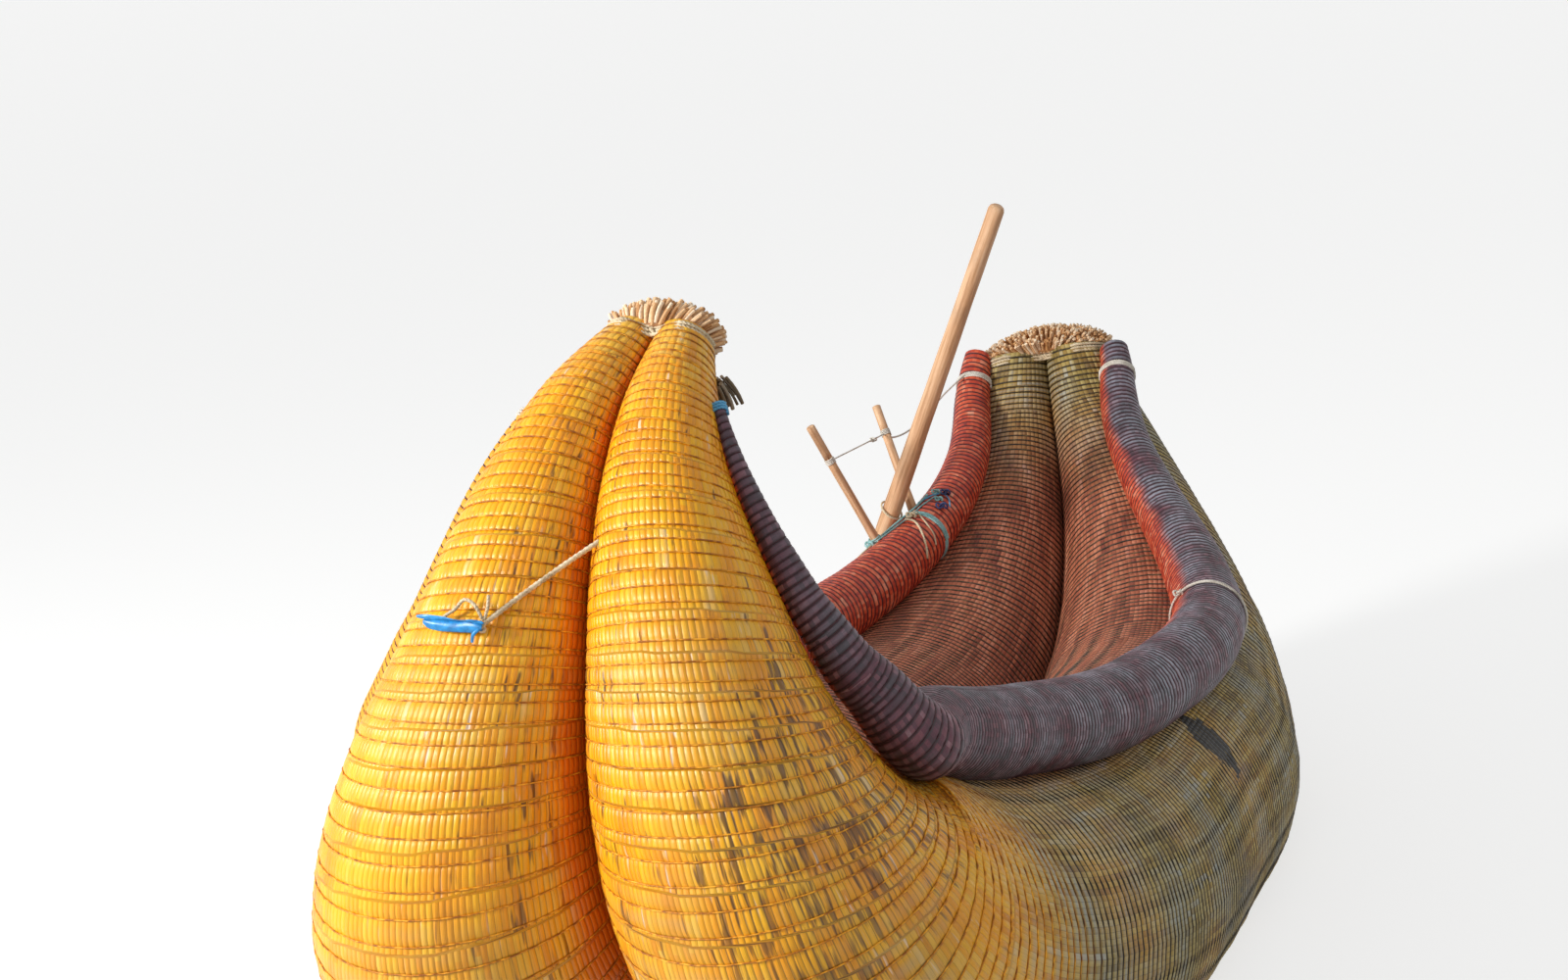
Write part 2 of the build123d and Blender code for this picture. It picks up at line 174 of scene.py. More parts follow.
def beside(point, line):
    """The nearest place on a line through points that each carry a size, and the size there."""
    found = None
    for (start, start_size), (end, end_size) in zip(line, line[1:]):
        span = end - start
        share = min(1, max(0, (point - start).dot(span) / span.dot(span)))
        place = start + span * share
        if found is None or (point - place).length < (point - found[0]).length:
            found = place, start_size + (end_size - start_size) * share
    return found


HULL_LINE = [Vector((x, -lean, height)) for x, lean, height, _ in HULL]
HULL_PLANES = station_planes(HULL_LINE)
MIDDLE = [(Vector((x, 0, height)), lean) for x, lean, height, _ in HULL]


def roll_centre(side, station):
    """A roll's centre, moved straight out from its bundle's axis until the roll just bites into it."""
    x, out, height, radius = station
    axis = [(on_plane(p, side * s[3] * seam_pinch, 0), s[3]) for p, s in zip(HULL_PLANES, HULL)]
    _, lean = beside(Vector((x, 0, height)), MIDDLE)
    wanted = Vector((x, side * out - lean, height))
    foot, hull_radius = beside(wanted, axis)
    return foot + (wanted - foot).normalized() * (hull_radius + radius - roll_bite)


ROLL_CENTRES = {side: [roll_centre(side, station) for station in ROLL] for side in (port, starboard)}


def on_roll(side, i, share):
    """A plane across a roll, a share of the way from station i to the next, and the roll's radius there."""
    start, end = ROLL_CENTRES[side][i : i + 2]
    radius = ROLL[i][3] * (1 - share) + ROLL[i + 1][3] * share
    return across(start + (end - start) * share, end - start), radius


def on_roll_at(side, x):
    centres = ROLL_CENTRES[side]
    i = next(i for i, end in enumerate(centres) if end.x > x) - 1
    return on_roll(side, i, (x - centres[i].x) / (centres[i + 1].x - centres[i].x))


# Helpers for the pieces.


def circle(count):
    """So many angles once round."""
    return [2 * pi * i / count for i in range(count)]


def keep(obj, slot, *nodes, body="boat"):
    """A finished piece rides on its body and stands for its nodes. The slot is not used."""
    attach(obj, body)
    if nodes:
        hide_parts(*nodes)
    return obj


def linked(name, data):
    """A new object of the scene."""
    obj = bpy.data.objects.new(name, data)
    scene.collection.objects.link(obj)
    return obj


def made_mesh(obj):
    """The mesh that an object's modifiers make of it. The object itself goes."""
    graph = bpy.context.evaluated_depsgraph_get()
    graph.update()
    data = bpy.data.meshes.new_from_object(obj.evaluated_get(graph), depsgraph=graph)
    bpy.data.objects.remove(obj)
    return data


def mesh_object(name, vertices, faces, material, smooth=True):
    data = bpy.data.meshes.new(name)
    data.from_pydata([tuple(v) for v in vertices], [], faces)
    data.materials.append(material)
    for face in data.polygons:
        face.use_smooth = smooth
    return linked(name, data)


def ring_faces(rings, around):
    """The faces that join so many rings of vertices, each to the next."""
    faces = []
    for start in range(0, (rings - 1) * around, around):
        for i in range(around):
            a, b = start + i, start + (i + 1) % around
            faces.append((a, b, b + around, a + around))
    return faces


def guide_curve(points, radii=None, closed=False, kind="POLY"):
    """A line through the points for a tree to follow, with a size at each where radii are given."""
    data = bpy.data.curves.new("guide", "CURVE")
    data.dimensions = "3D"
    spline = data.splines.new(kind)
    spline.points.add(len(points) - 1)
    for i, point in enumerate(points):
        spline.points[i].co = (*point, 1)
        spline.points[i].radius = radii[i] if radii else 1
    spline.use_cyclic_u = closed
    return linked("guide", data)


def grown(name, guide, tree, **inputs):
    """The plain mesh that a tree makes of a guide, with the tree's inputs set by their names."""
    modifier = guide.modifiers.new("grow", "NODES")
    modifier.node_group = tree
    identifiers = {item.name: item.identifier for item in tree.interface.items_tree if item.in_out == "INPUT"}
    for key, value in inputs.items():
        modifier[identifiers[key.replace("_", " ")]] = value
    data = made_mesh(guide)
    data.name = name
    return linked(name, data)


def new_tree(name, inputs, outputs=("Geometry",)):
    """A Geometry Nodes group with named inputs, each with its usual value or else the name of its kind."""
    tree = bpy.data.node_groups.new(name, "GeometryNodeTree")
    for socket_name, usual in inputs.items():
        kind = usual if isinstance(usual, str) else {float: "Float", int: "Int"}[type(usual)]
        socket = tree.interface.new_socket(socket_name, in_out="INPUT", socket_type="NodeSocket" + kind)
        if not isinstance(usual, str):
            socket.default_value = usual
    for output in outputs:
        kind = "NodeSocketGeometry" if output == "Geometry" else "NodeSocketVector"
        tree.interface.new_socket(output, in_out="OUTPUT", socket_type=kind)
    given, out = tree.nodes.new("NodeGroupInput").outputs, tree.nodes.new("NodeGroupOutput").inputs
    return tree, adder(tree), given, out


def finished(tree, add, given, out, geometry, smooth=True):
    """Ends a tree: every instance is real and has the material."""
    if smooth:
        geometry = add("GeometryNodeSetShadeSmooth", {"Geometry": geometry})
    whole = add("GeometryNodeRealizeInstances", {"Geometry": geometry})
    done = add("GeometryNodeSetMaterial", {"Geometry": whole, "Material": given["Material"]})
    feed(out["Geometry"], done)
    return tree


# How a bundle or a roll is bound. Its skin and its cord hand these on to the tree that places them.
BINDING_SHAPE = {"Side": 1.0, "Pinch": 0.0, "Least": -10.0, "Uneven": 0.25, "Wider": 0.0, "Bunched": 0.0}
HANDED_ON = ("Turns", *BINDING_SHAPE)


def bundle_place_tree():
    """Where a bit of the binding lies on a bundle: so many turns along it, and so far round it."""
    tree, add, given, out = new_tree("place on the bundle", {
        "Guide": "Geometry", "Turn": 0.0, "Turns": 100.0, "Round": 0.0, "Lift": 0.0, "Scale": 1.0,
        **BINDING_SHAPE,
    }, ("Position", "Sizes"))
    # Bound by hand: turns lie a little nearer and farther apart, and the bundle is a little lumpy.
    wander = add(NOISE, add(TIMES, given["Turn"], 0.31), 1.0, 1.0, noise_dimensions="1D")
    wander = add(MINUS, wander, 0.5)
    turn = add(TIMES_PLUS, wander, given["Uneven"], given["Turn"])
    share = add(OVER, turn, given["Turns"], use_clamp=True)
    # Wider moves turns apart at the bow and together at the stern, and Bunched sets them close at both tips.
    wave = add(COSINE, add(TIMES, share, 2 * pi))
    wave = add(TIMES_PLUS, wave, 1 / (2 * pi), -1 / (2 * pi))
    bunch = add(SINE, add(TIMES, share, 4 * pi))
    bunch = add(TIMES, bunch, -1 / (4 * pi))
    share = add(TIMES_PLUS, bunch, given["Bunched"], share)
    share = add(TIMES_PLUS, wave, given["Wider"], share, use_clamp=True)
    radius_there = add("GeometryNodeInputRadius")
    line = add("GeometryNodeSampleCurve", {
        "Curves": given["Guide"], "Value": radius_there, "Factor": share,
    }, mode="FACTOR", data_type="FLOAT", use_all_curves=True)
    radius = in_use(line.outputs, "Value")
    along = line.outputs["Tangent"]
    to_port = (0.0, 1.0, 0.0)
    lean = add(V_SCALED, along, add(V_DOT, along, to_port))
    sideways = add(V_UNIT, add(V_MINUS, to_port, lean))
    upwards = add(V_CROSS, along, sideways)
    lump_at = add(JOINED, add(TIMES, share, 40.0), given["Side"])
    lump = add(NOISE, lump_at, 1.0, 1.0, noise_dimensions="3D")
    lump = add(RANGE, lump, 0.0, 1.0, 0.985, 1.015)
    size = add(TIMES, add(TIMES_PLUS, radius, lump, given["Lift"]), given["Scale"])
    angle = add(TIMES, given["Round"], 2 * pi)
    wide = add(TIMES, size, add(COSINE, angle))
    wide = add(MINUS, add(TIMES, radius, given["Pinch"]), wide)
    wide = add(TIMES, add(LARGER, wide, given["Least"]), given["Side"])
    high = add(TIMES, size, add(SINE, angle))
    place = add(V_PLUS, add(V_SCALED, sideways, wide), line.outputs["Position"])
    place = add(V_PLUS, place, add(V_SCALED, upwards, high))
    feed(out["Position"], place)
    sizes = add(JOINED, radius, share)
    feed(out["Sizes"], sizes)
    return tree


BUNDLE_PLACE = bundle_place_tree()
BOUND_INPUTS = {"Geometry": "Geometry", "Turns": 100, **BINDING_SHAPE, "Material": "Material"}
rows_per_turn = 8
# The grid's first and last rows lie half a unit from its middle, and every other row nearer.
last_row = 0.49999


def bound_skin_tree():
    """A bundle's skin of reeds, swelling between the turns of the cord that binds it."""
    tree, add, given, out = new_tree("bound skin", {
        **BOUND_INPUTS, "Columns": 40, "Swell": 0.005, "Reed width": 0.014,
    })
    turns = given["Turns"]
    spans = add(PLUS, turns, 1.0)
    rows = add(TIMES_PLUS, spans, float(rows_per_turn), 1.0)
    columns = add(PLUS, given["Columns"], 1.0)
    grid = add("GeometryNodeMeshGrid", {
        "Size X": 1.0, "Size Y": 1.0, "Vertices X": rows, "Vertices Y": columns,
    })
    spot = add(SPLIT, add("GeometryNodeInputPosition")).outputs
    u = add(PLUS, spot["X"], 0.5)
    v = add(PLUS, spot["Y"], 0.5)
    coil = add(TIMES, u, spans)
    turn = add("ShaderNodeClamp", {"Value": add(MINUS, coil, v), "Max": turns})
    between = add(TIMES_PLUS, add(FRACTION, coil), 2.0, -1.0)
    between = add(POWER, add(UNSIGNED, between), 3.0)
    swell = add(TIMES, add(TIMES_PLUS, between, -1.0, 1.0), given["Swell"])
    # The first and last rows close onto the bundle's axis.
    inside = add(BELOW, add(UNSIGNED, spot["X"]), last_row)
    place = add("GeometryNodeGroup", {
        "Guide": given["Geometry"], "Turn": turn, "Round": v, "Lift": swell, "Scale": inside,
        **{name: given[name] for name in HANDED_ON},
    }, node_tree=BUNDLE_PLACE)
    # weave: the reed's number round the bundle, the turn's number along it, and the share of the way round.
    count = add(TIMES, add(SPLIT, place.outputs["Sizes"]), 2 * pi)
    count = add(SNAP, add(OVER, count, given["Reed width"]), 8.0)
    count = add(LARGER, count, 8.0)
    weave = add(JOINED, add(TIMES, count, v), coil, v)
    stored = add("GeometryNodeStoreNamedAttribute", {
        "Geometry": grid, "Name": "weave", "Value": weave,
    }, data_type="FLOAT_VECTOR", domain="CORNER")
    moved = add("GeometryNodeSetPosition", {"Geometry": stored, "Position": place.outputs["Position"]})
    turned = add("GeometryNodeFlipFaces", moved, add(BELOW, given["Side"], 0.0))
    merged = add("GeometryNodeMergeByDistance", {"Geometry": turned, "Distance": 0.00005})
    return finished(tree, add, given, out, merged)


def binding_tree():
    """The cord that binds a bundle, one long spiral that lies in the valleys of its skin."""
    tree, add, given, out = new_tree("binding", {
        **BOUND_INPUTS, "Points a turn": 32, "Cord radius": 0.002, "Lift": 0.001,
    })
    count = add(TIMES, given["Turns"], given["Points a turn"])
    line = add("GeometryNodeMeshLine", {"Count": count})
    turn = add(OVER, add("GeometryNodeInputIndex"), given["Points a turn"])
    around = add(FRACTION, add(TIMES, turn, -1.0))
    place = add("GeometryNodeGroup", {
        "Guide": given["Geometry"], "Turn": turn, "Round": around, "Lift": given["Lift"],
        **{name: given[name] for name in HANDED_ON},
    }, node_tree=BUNDLE_PLACE)
    moved = add("GeometryNodeSetPosition", {"Geometry": line, "Position": place.outputs["Position"]})
    curve = add("GeometryNodeMeshToCurve", {"Mesh": moved})
    ring = add("GeometryNodeCurvePrimitiveCircle", {"Resolution": 5, "Radius": given["Cord radius"]})
    tube = add("GeometryNodeCurveToMesh", {"Curve": curve, "Profile Curve": ring, "Fill Caps": True})
    return finished(tree, add, given, out, tube)


def laid_rope_tree():
    """A rope of three twisted strands along a line; its lobes turn once in so many diameters."""
    strands, lobe_depth = 3.0, 0.13
    tree, add, given, out = new_tree("laid rope", {
        "Geometry": "Geometry", "Diameter": 0.01, "Lay": 3.0, "Material": "Material",
    })
    step = add(TIMES, given["Diameter"], 0.3)
    fine = add("GeometryNodeResampleCurve", {"Curve": given["Geometry"], "Length": step}, mode="LENGTH")
    length = add("GeometryNodeSplineParameter").outputs["Length"]
    twist = add(OVER, length, add(TIMES, given["Diameter"], given["Lay"]))
    twist = add(TIMES, twist, 2 * pi)
    twisted = add("GeometryNodeSetCurveTilt", {"Curve": fine, "Tilt": twist})
    even = add("GeometryNodeSetCurveRadius", {"Curve": twisted, "Radius": 1.0})
    ring = add("GeometryNodeCurvePrimitiveCircle", {"Resolution": 12, "Radius": 1.0})
    spot = add("GeometryNodeInputPosition")
    where = add(SPLIT, spot).outputs
    angle = add(ARCTAN2, where["Y"], where["X"])
    lobes = add(COSINE, add(TIMES, angle, strands))
    lobes = add(TIMES_PLUS, lobes, lobe_depth, 1 - lobe_depth)
    size = add(TIMES, lobes, add(TIMES, given["Diameter"], 0.5))
    lobed = add(V_SCALED, spot, size)
    profile = add("GeometryNodeSetPosition", {"Geometry": ring, "Position": lobed})
    tube = add("GeometryNodeCurveToMesh", {"Curve": even, "Profile Curve": profile, "Fill Caps": True})
    return finished(tree, add, given, out, tube)


def cut_reeds_tree():
    """Cut reeds that stand on a face, spread a little outwards, each with its own length and lean."""
    tree, add, given, out = new_tree("cut reeds", {
        "Geometry": "Geometry", "Spacing": 0.009, "Reed radius": 0.0048, "Length": 0.08, "Bend": 0.02,
        "Towards": "Vector", "Centre": "Vector", "Along": "Vector", "Spread": 2.0, "Seed": 1,
        "Material": "Material",
    })
    spots = add("GeometryNodeDistributePointsOnFaces", {
        "Mesh": given["Geometry"], "Distance Min": given["Spacing"], "Density Max": 20000.0,
        "Seed": given["Seed"],
    }, distribute_method="POISSON")
    outwards = add(V_MINUS, add("GeometryNodeInputPosition"), given["Centre"])
    outwards = add(V_SCALED, outwards, given["Spread"])
    lean_most = 0.07
    lean = add("FunctionNodeRandomValue", {
        "Min": (-lean_most,) * 3, "Max": (lean_most,) * 3, "Seed": given["Seed"],
    }, data_type="FLOAT_VECTOR")
    heading = add(V_PLUS, add(V_PLUS, outwards, given["Along"]), lean)
    facing = add("FunctionNodeAlignRotationToVector", {"Vector": heading}, axis="Z")
    facing = add("FunctionNodeAlignRotationToVector", {
        "Rotation": facing, "Vector": given["Towards"],
    }, axis="X", pivot_axis="Z")
    ring = add("GeometryNodeCurvePrimitiveCircle", {"Resolution": 7, "Radius": given["Reed radius"]})
    knee = add(JOINED, {"Z": add(TIMES, given["Length"], 0.6)})
    top = add(JOINED, {"X": given["Bend"], "Z": given["Length"]})
    stem = add("GeometryNodeCurveQuadraticBezier", {
        "Resolution": 4, "Start": (0.0, 0.0, 0.0), "Middle": knee, "End": top,
    })
    reed = add("GeometryNodeCurveToMesh", {"Curve": stem, "Profile Curve": ring, "Fill Caps": True})
    tall = add("FunctionNodeRandomValue", {
        "Min": 0.86, "Max": 1.1, "Seed": add(PLUS, given["Seed"], 7.0),
    }, data_type="FLOAT")
    thick = add("FunctionNodeRandomValue", {
        "Min": 0.7, "Max": 1.25, "Seed": add(PLUS, given["Seed"], 3.0),
    }, data_type="FLOAT")
    sizes = add(JOINED, thick, thick, tall)
    placed = add("GeometryNodeInstanceOnPoints", {
        "Points": spots, "Instance": reed, "Rotation": facing, "Scale": sizes,
    })
    tone = add("FunctionNodeRandomValue", {"Seed": 11}, data_type="FLOAT")
    toned = add("GeometryNodeStoreNamedAttribute", {
        "Geometry": placed, "Name": "tone", "Value": tone,
    }, data_type="FLOAT", domain="INSTANCE")
    return finished(tree, add, given, out, toned, smooth=False)


BOUND_SKIN, BINDING = bound_skin_tree(), binding_tree()
LAID_ROPE, CUT_REEDS = laid_rope_tree(), cut_reeds_tree()


# The finishes.


def new_material(name, **values):
    """A material with its shader's plain values set on the shader's own sockets."""
    material = bpy.data.materials.new(name)
    material.use_nodes = True
    shader = material.node_tree.nodes["Principled BSDF"]
    for key, value in values.items():
        shader.inputs[key.replace("_", " ")].default_value = value
    return material, adder(material.node_tree), shader


def ramp(node, stops):
    """Sets a colour ramp's stops, each a place and a hex colour."""
    elements = node.color_ramp.elements
    while len(elements) < len(stops):
        elements.new(0.5)
    for element, (place, colour) in zip(elements, stops):
        element.position = place
        element.color = linear(colour)


def colour_and_bump(add, shader, colour, height, strength, depth):
    """Gives the shader its colour, and a bump that is so strong and so deep."""
    feed(shader.inputs["Base Color"], colour)
    bump = add("ShaderNodeBump", {"Height": height, "Strength": strength, "Distance": depth})
    feed(shader.inputs["Normal"], bump)


def arch(add, value):
    """Rises from nothing at each whole number to a quarter halfway to the next."""
    share = add(FRACTION, value)
    return add(TIMES, share, add(MINUS, 1.0, share))


# Where the tear and the brown strokes lie, in metres, and how fast they fade from there along each axis.
tear_place = (0.545, 0.665, 0.65)
tear_shape = (15.0, 9.0, 9.0)
bruise_place = (2.6, 0.33, 1.1)
bruise_shape = (1.2, 3.4, 1.6)


def reed_material(name, seam_starts, seam_full):
    """Dry totora reed: golden and waxy where it is new and painted sunlit at the bow, with tan, pinkish and
    brown stalks, khaki and grey where weather-worn and in painted shade along the sides. The worn turns'
    crowns carry a painted grey-blue highlight, and the gaps between stalks and the valleys under the cord are
    painted shade. Towards the seam between the bundles it turns deep orange, painted light bounced from the
    other bundle."""
    material, add, shader = new_material(name)
    weave = add("ShaderNodeAttribute", attribute_name="weave").outputs["Vector"]
    stalk, turn, around = add(SPLIT, weave).outputs
    # A stalk shows over about ten turns of the cord, and each has its own tone and its own place to end.
    stalk_number = add(FLOORED, stalk)
    offset = add(WHITE_NOISE, stalk_number, noise_dimensions="1D")
    reach = add(TIMES_PLUS, turn, 0.1, add(TIMES, offset, 9.0))
    cell = add(JOINED, stalk_number, add(FLOORED, reach))
    one = add(WHITE_NOISE, cell, noise_dimensions="2D")
    bit = add(JOINED, stalk_number, add(FLOORED, turn))
    bit = add(WHITE_NOISE, bit, noise_dimensions="2D")
    run = add(NOISE, add(V_TIMES, weave, (0.16, 0.06, 0.0)), 1.0, 3.0)
    mixed = add(TIMES_PLUS, one, 0.3, add(TIMES_PLUS, run, 0.9, -0.18))
    golden = add(RAMP, add(TIMES_PLUS, bit, 0.08, mixed))
    ramp(golden, (
        (0.08, "#A85C08"), (0.22, "#EE9600"), (0.38, "#FFA800"), (0.58, "#FFBA08"), (0.7, "#FFC030"),
        (0.8, "#F6CC88"),
    ))
    weathered_and_shaded = add(RAMP, add(TIMES_PLUS, bit, 0.28, mixed))
    ramp(weathered_and_shaded, (
        (0.12, "#4A3A1E"), (0.3, "#78622C"), (0.5, "#9C8440"), (0.7, "#B8A464"), (0.9, "#B2B0A2"),
    ))
    spot = add("ShaderNodeTexCoord").outputs["Object"]
    at = add(SPLIT, spot).outputs
    patch = add(NOISE, spot, 2.6, 4.0)
    # Painted light: where sun is high, at the bow and most of all high up, the reed takes its sunlit golden.
    # The worn mask is real weathering in patches, and away from the bow it is also painted shade.
    fore = add(RANGE, at["X"], 1.95, 2.3)
    raised = add(RANGE, at["Z"], 1.4, 1.6)
    raised = add(TIMES, raised, add(ABOVE, at["X"], 1.0))
    fore = add(LARGER, fore, raised)
    high = add(RANGE, at["Z"], 0.5, 1.1)
    sun = add(TIMES, fore, add(TIMES_PLUS, high, 0.5, 0.5))
    worn = add(MINUS, add(TIMES_PLUS, patch, 1.2, 0.35), sun, use_clamp=True)
    colour = add(MIX, worn, golden, weathered_and_shaded)
    # Brown strokes between the stalks down the outer front of the port bundle and beside the seam.
    bruised = add(V_TIMES, add(V_MINUS, spot, bruise_place), bruise_shape)
    bruised = add(V_LENGTH, bruised)
    bruised = add(RANGE, add(TIMES_PLUS, patch, 1.4, bruised), 1.75, 1.25)
    near_seam = add(UNSIGNED, add(PLUS, around, -0.5))
    bruised = add(LARGER, bruised, add(RANGE, near_seam, 0.25, 0.36, 0.0, 0.6))
    streak = add(NOISE, add(V_TIMES, weave, (0.95, 0.36, 0.0)), 1.0, 2.0)
    stroke = add(RANGE, add(TIMES_PLUS, bruised, 0.17, streak), 0.68, 0.76, 0.0, 0.85)
    stroke = add(TIMES, stroke, sun)
    colour = add(MIX, stroke, colour, linear("#5A3208"))
    fleck = add(RANGE, streak, 0.34, 0.27, 0.0, 0.8)
    flecked = add(RANGE, patch, 0.42, 0.56)
    fleck = add(TIMES, add(TIMES, fleck, flecked), sun)
    colour = add(MIX, fleck, colour, linear("#F8DCC0"))
    # Red-brown straw on the floor of the well, between the rolls.
    floor = add(RANGE, around, 0.34, 0.28)
    level = add(RANGE, at["X"], 1.95, 1.7)
    low = add(RANGE, at["Z"], 1.25, 0.95)
    floor = add(TIMES, add(TIMES, floor, level), low)
    straw = add(RAMP, mixed)
    ramp(straw, ((0.15, "#8A3E2C"), (0.4, "#BC6248"), (0.65, "#DA8466"), (0.9, "#E8A88C")))
    trodden = add(MIX, add(TIMES, floor, 0.88), colour, straw)
    # Painted light: deep orange where the two bundles meet, standing for light bounced between them.
    painted_bounce_glow = add(TIMES, add(RANGE, near_seam, seam_starts, seam_full), fore)
    orange = add(MIX, add(TIMES, painted_bounce_glow, 0.92), trodden, linear("#EE7404"))
    # Painted shade: narrow dark gaps between the stalks, and dark valleys under the cord, darkest on the worn
    # sides and the well floor. The fibre mottle on it is the reed's own.
    round_reed = arch(add, stalk)
    gap_tone = add(RANGE, add(LARGER, bruised, worn), 0.0, 1.0, 0.88, 0.4)
    gap_width = add(TIMES_PLUS, add(TIMES, bit, bruised), 0.16, 0.06)
    gap_shade = add(RANGE, round_reed, 0.01, gap_width, gap_tone, 1.0)
    rib = arch(add, turn)
    ribbed = add(LARGER, worn, floor)
    depth = add(RANGE, ribbed, 0.0, 1.0, 0.82, 0.08)
    low_edge = add(RANGE, ribbed, 0.0, 1.0, 0.0, 0.085)
    high_edge = add(RANGE, ribbed, 0.0, 1.0, 0.07, 0.18)
    dark = add(TIMES, gap_shade, add(RANGE, rib, low_edge, high_edge, depth, 1.0))
    fibre = add(NOISE, add(V_TIMES, weave, (9.0, 0.5, 0.0)), 1.0, 3.0)
    dark = add(TIMES, dark, add(RANGE, fibre, 0.3, 0.7, 0.82, 1.1))
    # The crowns of the worn turns carry a painted grey-blue highlight, in patches.
    crown_highlight = add(RANGE, rib, 0.15, 0.25)
    highlight_patches = add(RANGE, add(NOISE, spot, 7.0, 3.0), 0.42, 0.68, 0.0, 0.85)
    crown_highlight = add(TIMES, add(TIMES, crown_highlight, highlight_patches), worn)
    crown_highlight = add(TIMES, crown_highlight, add(MINUS, 1.0, floor))
    shaded = add(V_SCALED, add(MIX, crown_highlight, orange, linear("#A3A9A4")), dark)
    gloss = add(RANGE, worn, 0.0, 1.0, 0.36, 0.66)
    feed(shader.inputs["Roughness"], gloss)
    # The ragged tear low on the port side; the hollow in it is painted near-black as shade.
    torn_at = add(V_MINUS, spot, tear_place)
    ragged = add(NOISE, spot, 24.0, 4.0)
    away = add(V_LENGTH, add(V_TIMES, torn_at, tear_shape))
    away = add(TIMES_PLUS, ragged, 1.3, add(PLUS, away, -0.65))
    holed = add(MIX, add(RANGE, away, 0.95, 0.88), shaded, linear("#0E0A08"))
    height = add(TIMES_PLUS, round_reed, 4.0, add(TIMES, fibre, 0.5))
    colour_and_bump(add, shader, holed, height, 0.6, 0.003)
    return material


def dyed_material(name, red_middle, red_half, bare_bow):
    """Reed dyed red, in close turns round a gunwale roll: madder red on the faces painted as sunlit and plum
    on those painted as shaded, so the two tones are painted light and shade. It is red within red_half of
    red_middle, as shares of the way round from the inside over the top. The crowns of the plum turns carry a
    painted grey-blue highlight, and the valleys between the turns are painted shade. Where bare_bow is 1, the
    outer side at the bow is left golden."""
    material, add, shader = new_material(name, Roughness=0.5)
    weave = add("ShaderNodeAttribute", attribute_name="weave").outputs["Vector"]
    stalk, turn, around = add(SPLIT, weave).outputs
    run = add(NOISE, add(V_TIMES, weave, (0.12, 0.35, 0.0)), 1.0, 3.0)
    one = add(WHITE_NOISE, add(FLOORED, turn), noise_dimensions="1D")
    mixed = add(TIMES_PLUS, one, 0.22, add(TIMES_PLUS, run, 1.1, -0.14))
    cell = add(JOINED, add(FLOORED, stalk), add(FLOORED, turn))
    speck = add(WHITE_NOISE, cell, noise_dimensions="2D")
    mixed = add(TIMES_PLUS, add(MINUS, speck, 0.5), 0.42, mixed)
    plum = add(RAMP, mixed)
    ramp(plum, ((0.15, "#2A141E"), (0.4, "#44202E"), (0.6, "#5C2A3A"), (0.8, "#7A4650"), (0.95, "#94707A")))
    madder = add(RAMP, mixed)
    ramp(madder, (
        (0.1, "#8E2416"), (0.35, "#C03C20"), (0.55, "#D6522C"), (0.75, "#E87854"), (0.92, "#F2A080"),
    ))
    spot = add("ShaderNodeTexCoord").outputs["Object"]
    at = add(SPLIT, spot).outputs
    wobble = add(NOISE, spot, 6.0, 3.0)
    # Painted light and shade: madder red on the faces taken as sunlit, plum on the rest.
    wrapped = add(FRACTION, add(PLUS, around, 0.5 - red_middle))
    apart = add(UNSIGNED, add(MINUS, wrapped, 0.5))
    apart = add(TIMES_PLUS, wobble, 0.1, apart)
    lit = add(RANGE, apart, red_half + 0.09, red_half + 0.03)
    colour = add(MIX, lit, plum, madder)
    rib = arch(add, turn)
    # Painted highlight: the crowns of the plum turns are lit grey-blue, in patches, and most of all away from
    # the bow.
    crown_highlight = add(RANGE, rib, 0.13, 0.24)
    highlight_patches = add(RANGE, add(NOISE, spot, 9.0, 4.0), 0.36, 0.62, 0.0, 0.9)
    aft = add(RANGE, at["X"], 2.1, 1.5, 0.25, 1.0)
    crown_highlight = add(TIMES, add(TIMES, crown_highlight, highlight_patches), aft)
    crown_highlight = add(TIMES, crown_highlight, add(TIMES_PLUS, speck, 0.5, 0.5))
    crown_highlight = add(TIMES, crown_highlight, add(MINUS, 1.0, lit))
    grey = add(MIX, crown_highlight, colour, linear("#A4ABB8"))
    outer = add(RANGE, add(UNSIGNED, add(MINUS, around, 0.55)), 0.3, 0.24, 0.0, bare_bow)
    bare = add(TIMES, outer, add(RANGE, at["X"], 1.8, 2.0))
    golden = add(MIX, bare, grey, linear("#F0A010"))
    # Painted shade: dark valleys between the turns, lighter on the golden bow.
    valley_shade = add(RANGE, rib, 0.08, 0.19, add(RANGE, bare, 0.0, 1.0, 0.1, 0.75), 1.0)
    fibre = add(NOISE, add(V_TIMES, weave, (0.7, 7.0, 0.0)), 1.0, 3.0)
    dark = add(TIMES, valley_shade, add(RANGE, fibre, 0.3, 0.7, 0.78, 1.15))
    shaded = add(V_SCALED, golden, dark)
    colour_and_bump(add, shader, shaded, fibre, 0.5, 0.002)
    return material


def binding_cord_material():
    """Split reed twisted into thin cord: honey-brown at the bow, dark brown to near black aft of it."""
    material, add, shader = new_material("reed_binding_cord", Roughness=0.6)
    spot = add("ShaderNodeTexCoord").outputs["Object"]
    at = add(SPLIT, spot).outputs
    fine = add(NOISE, spot, 60.0, 4.0)
    new = add(RAMP, fine)
    ramp(new, ((0.35, "#9A560C"), (0.5, "#D08410"), (0.65, "#FFB62A")))
    aft_tones = add(RAMP, fine)
    ramp(aft_tones, ((0.35, "#1C150C"), (0.55, "#3A2E1A"), (0.7, "#6A5A38")))
    colour = add(MIX, add(RANGE, at["X"], 1.9, 2.1), aft_tones, new)
    colour_and_bump(add, shader, colour, fine, 0.4, 0.001)
    return material


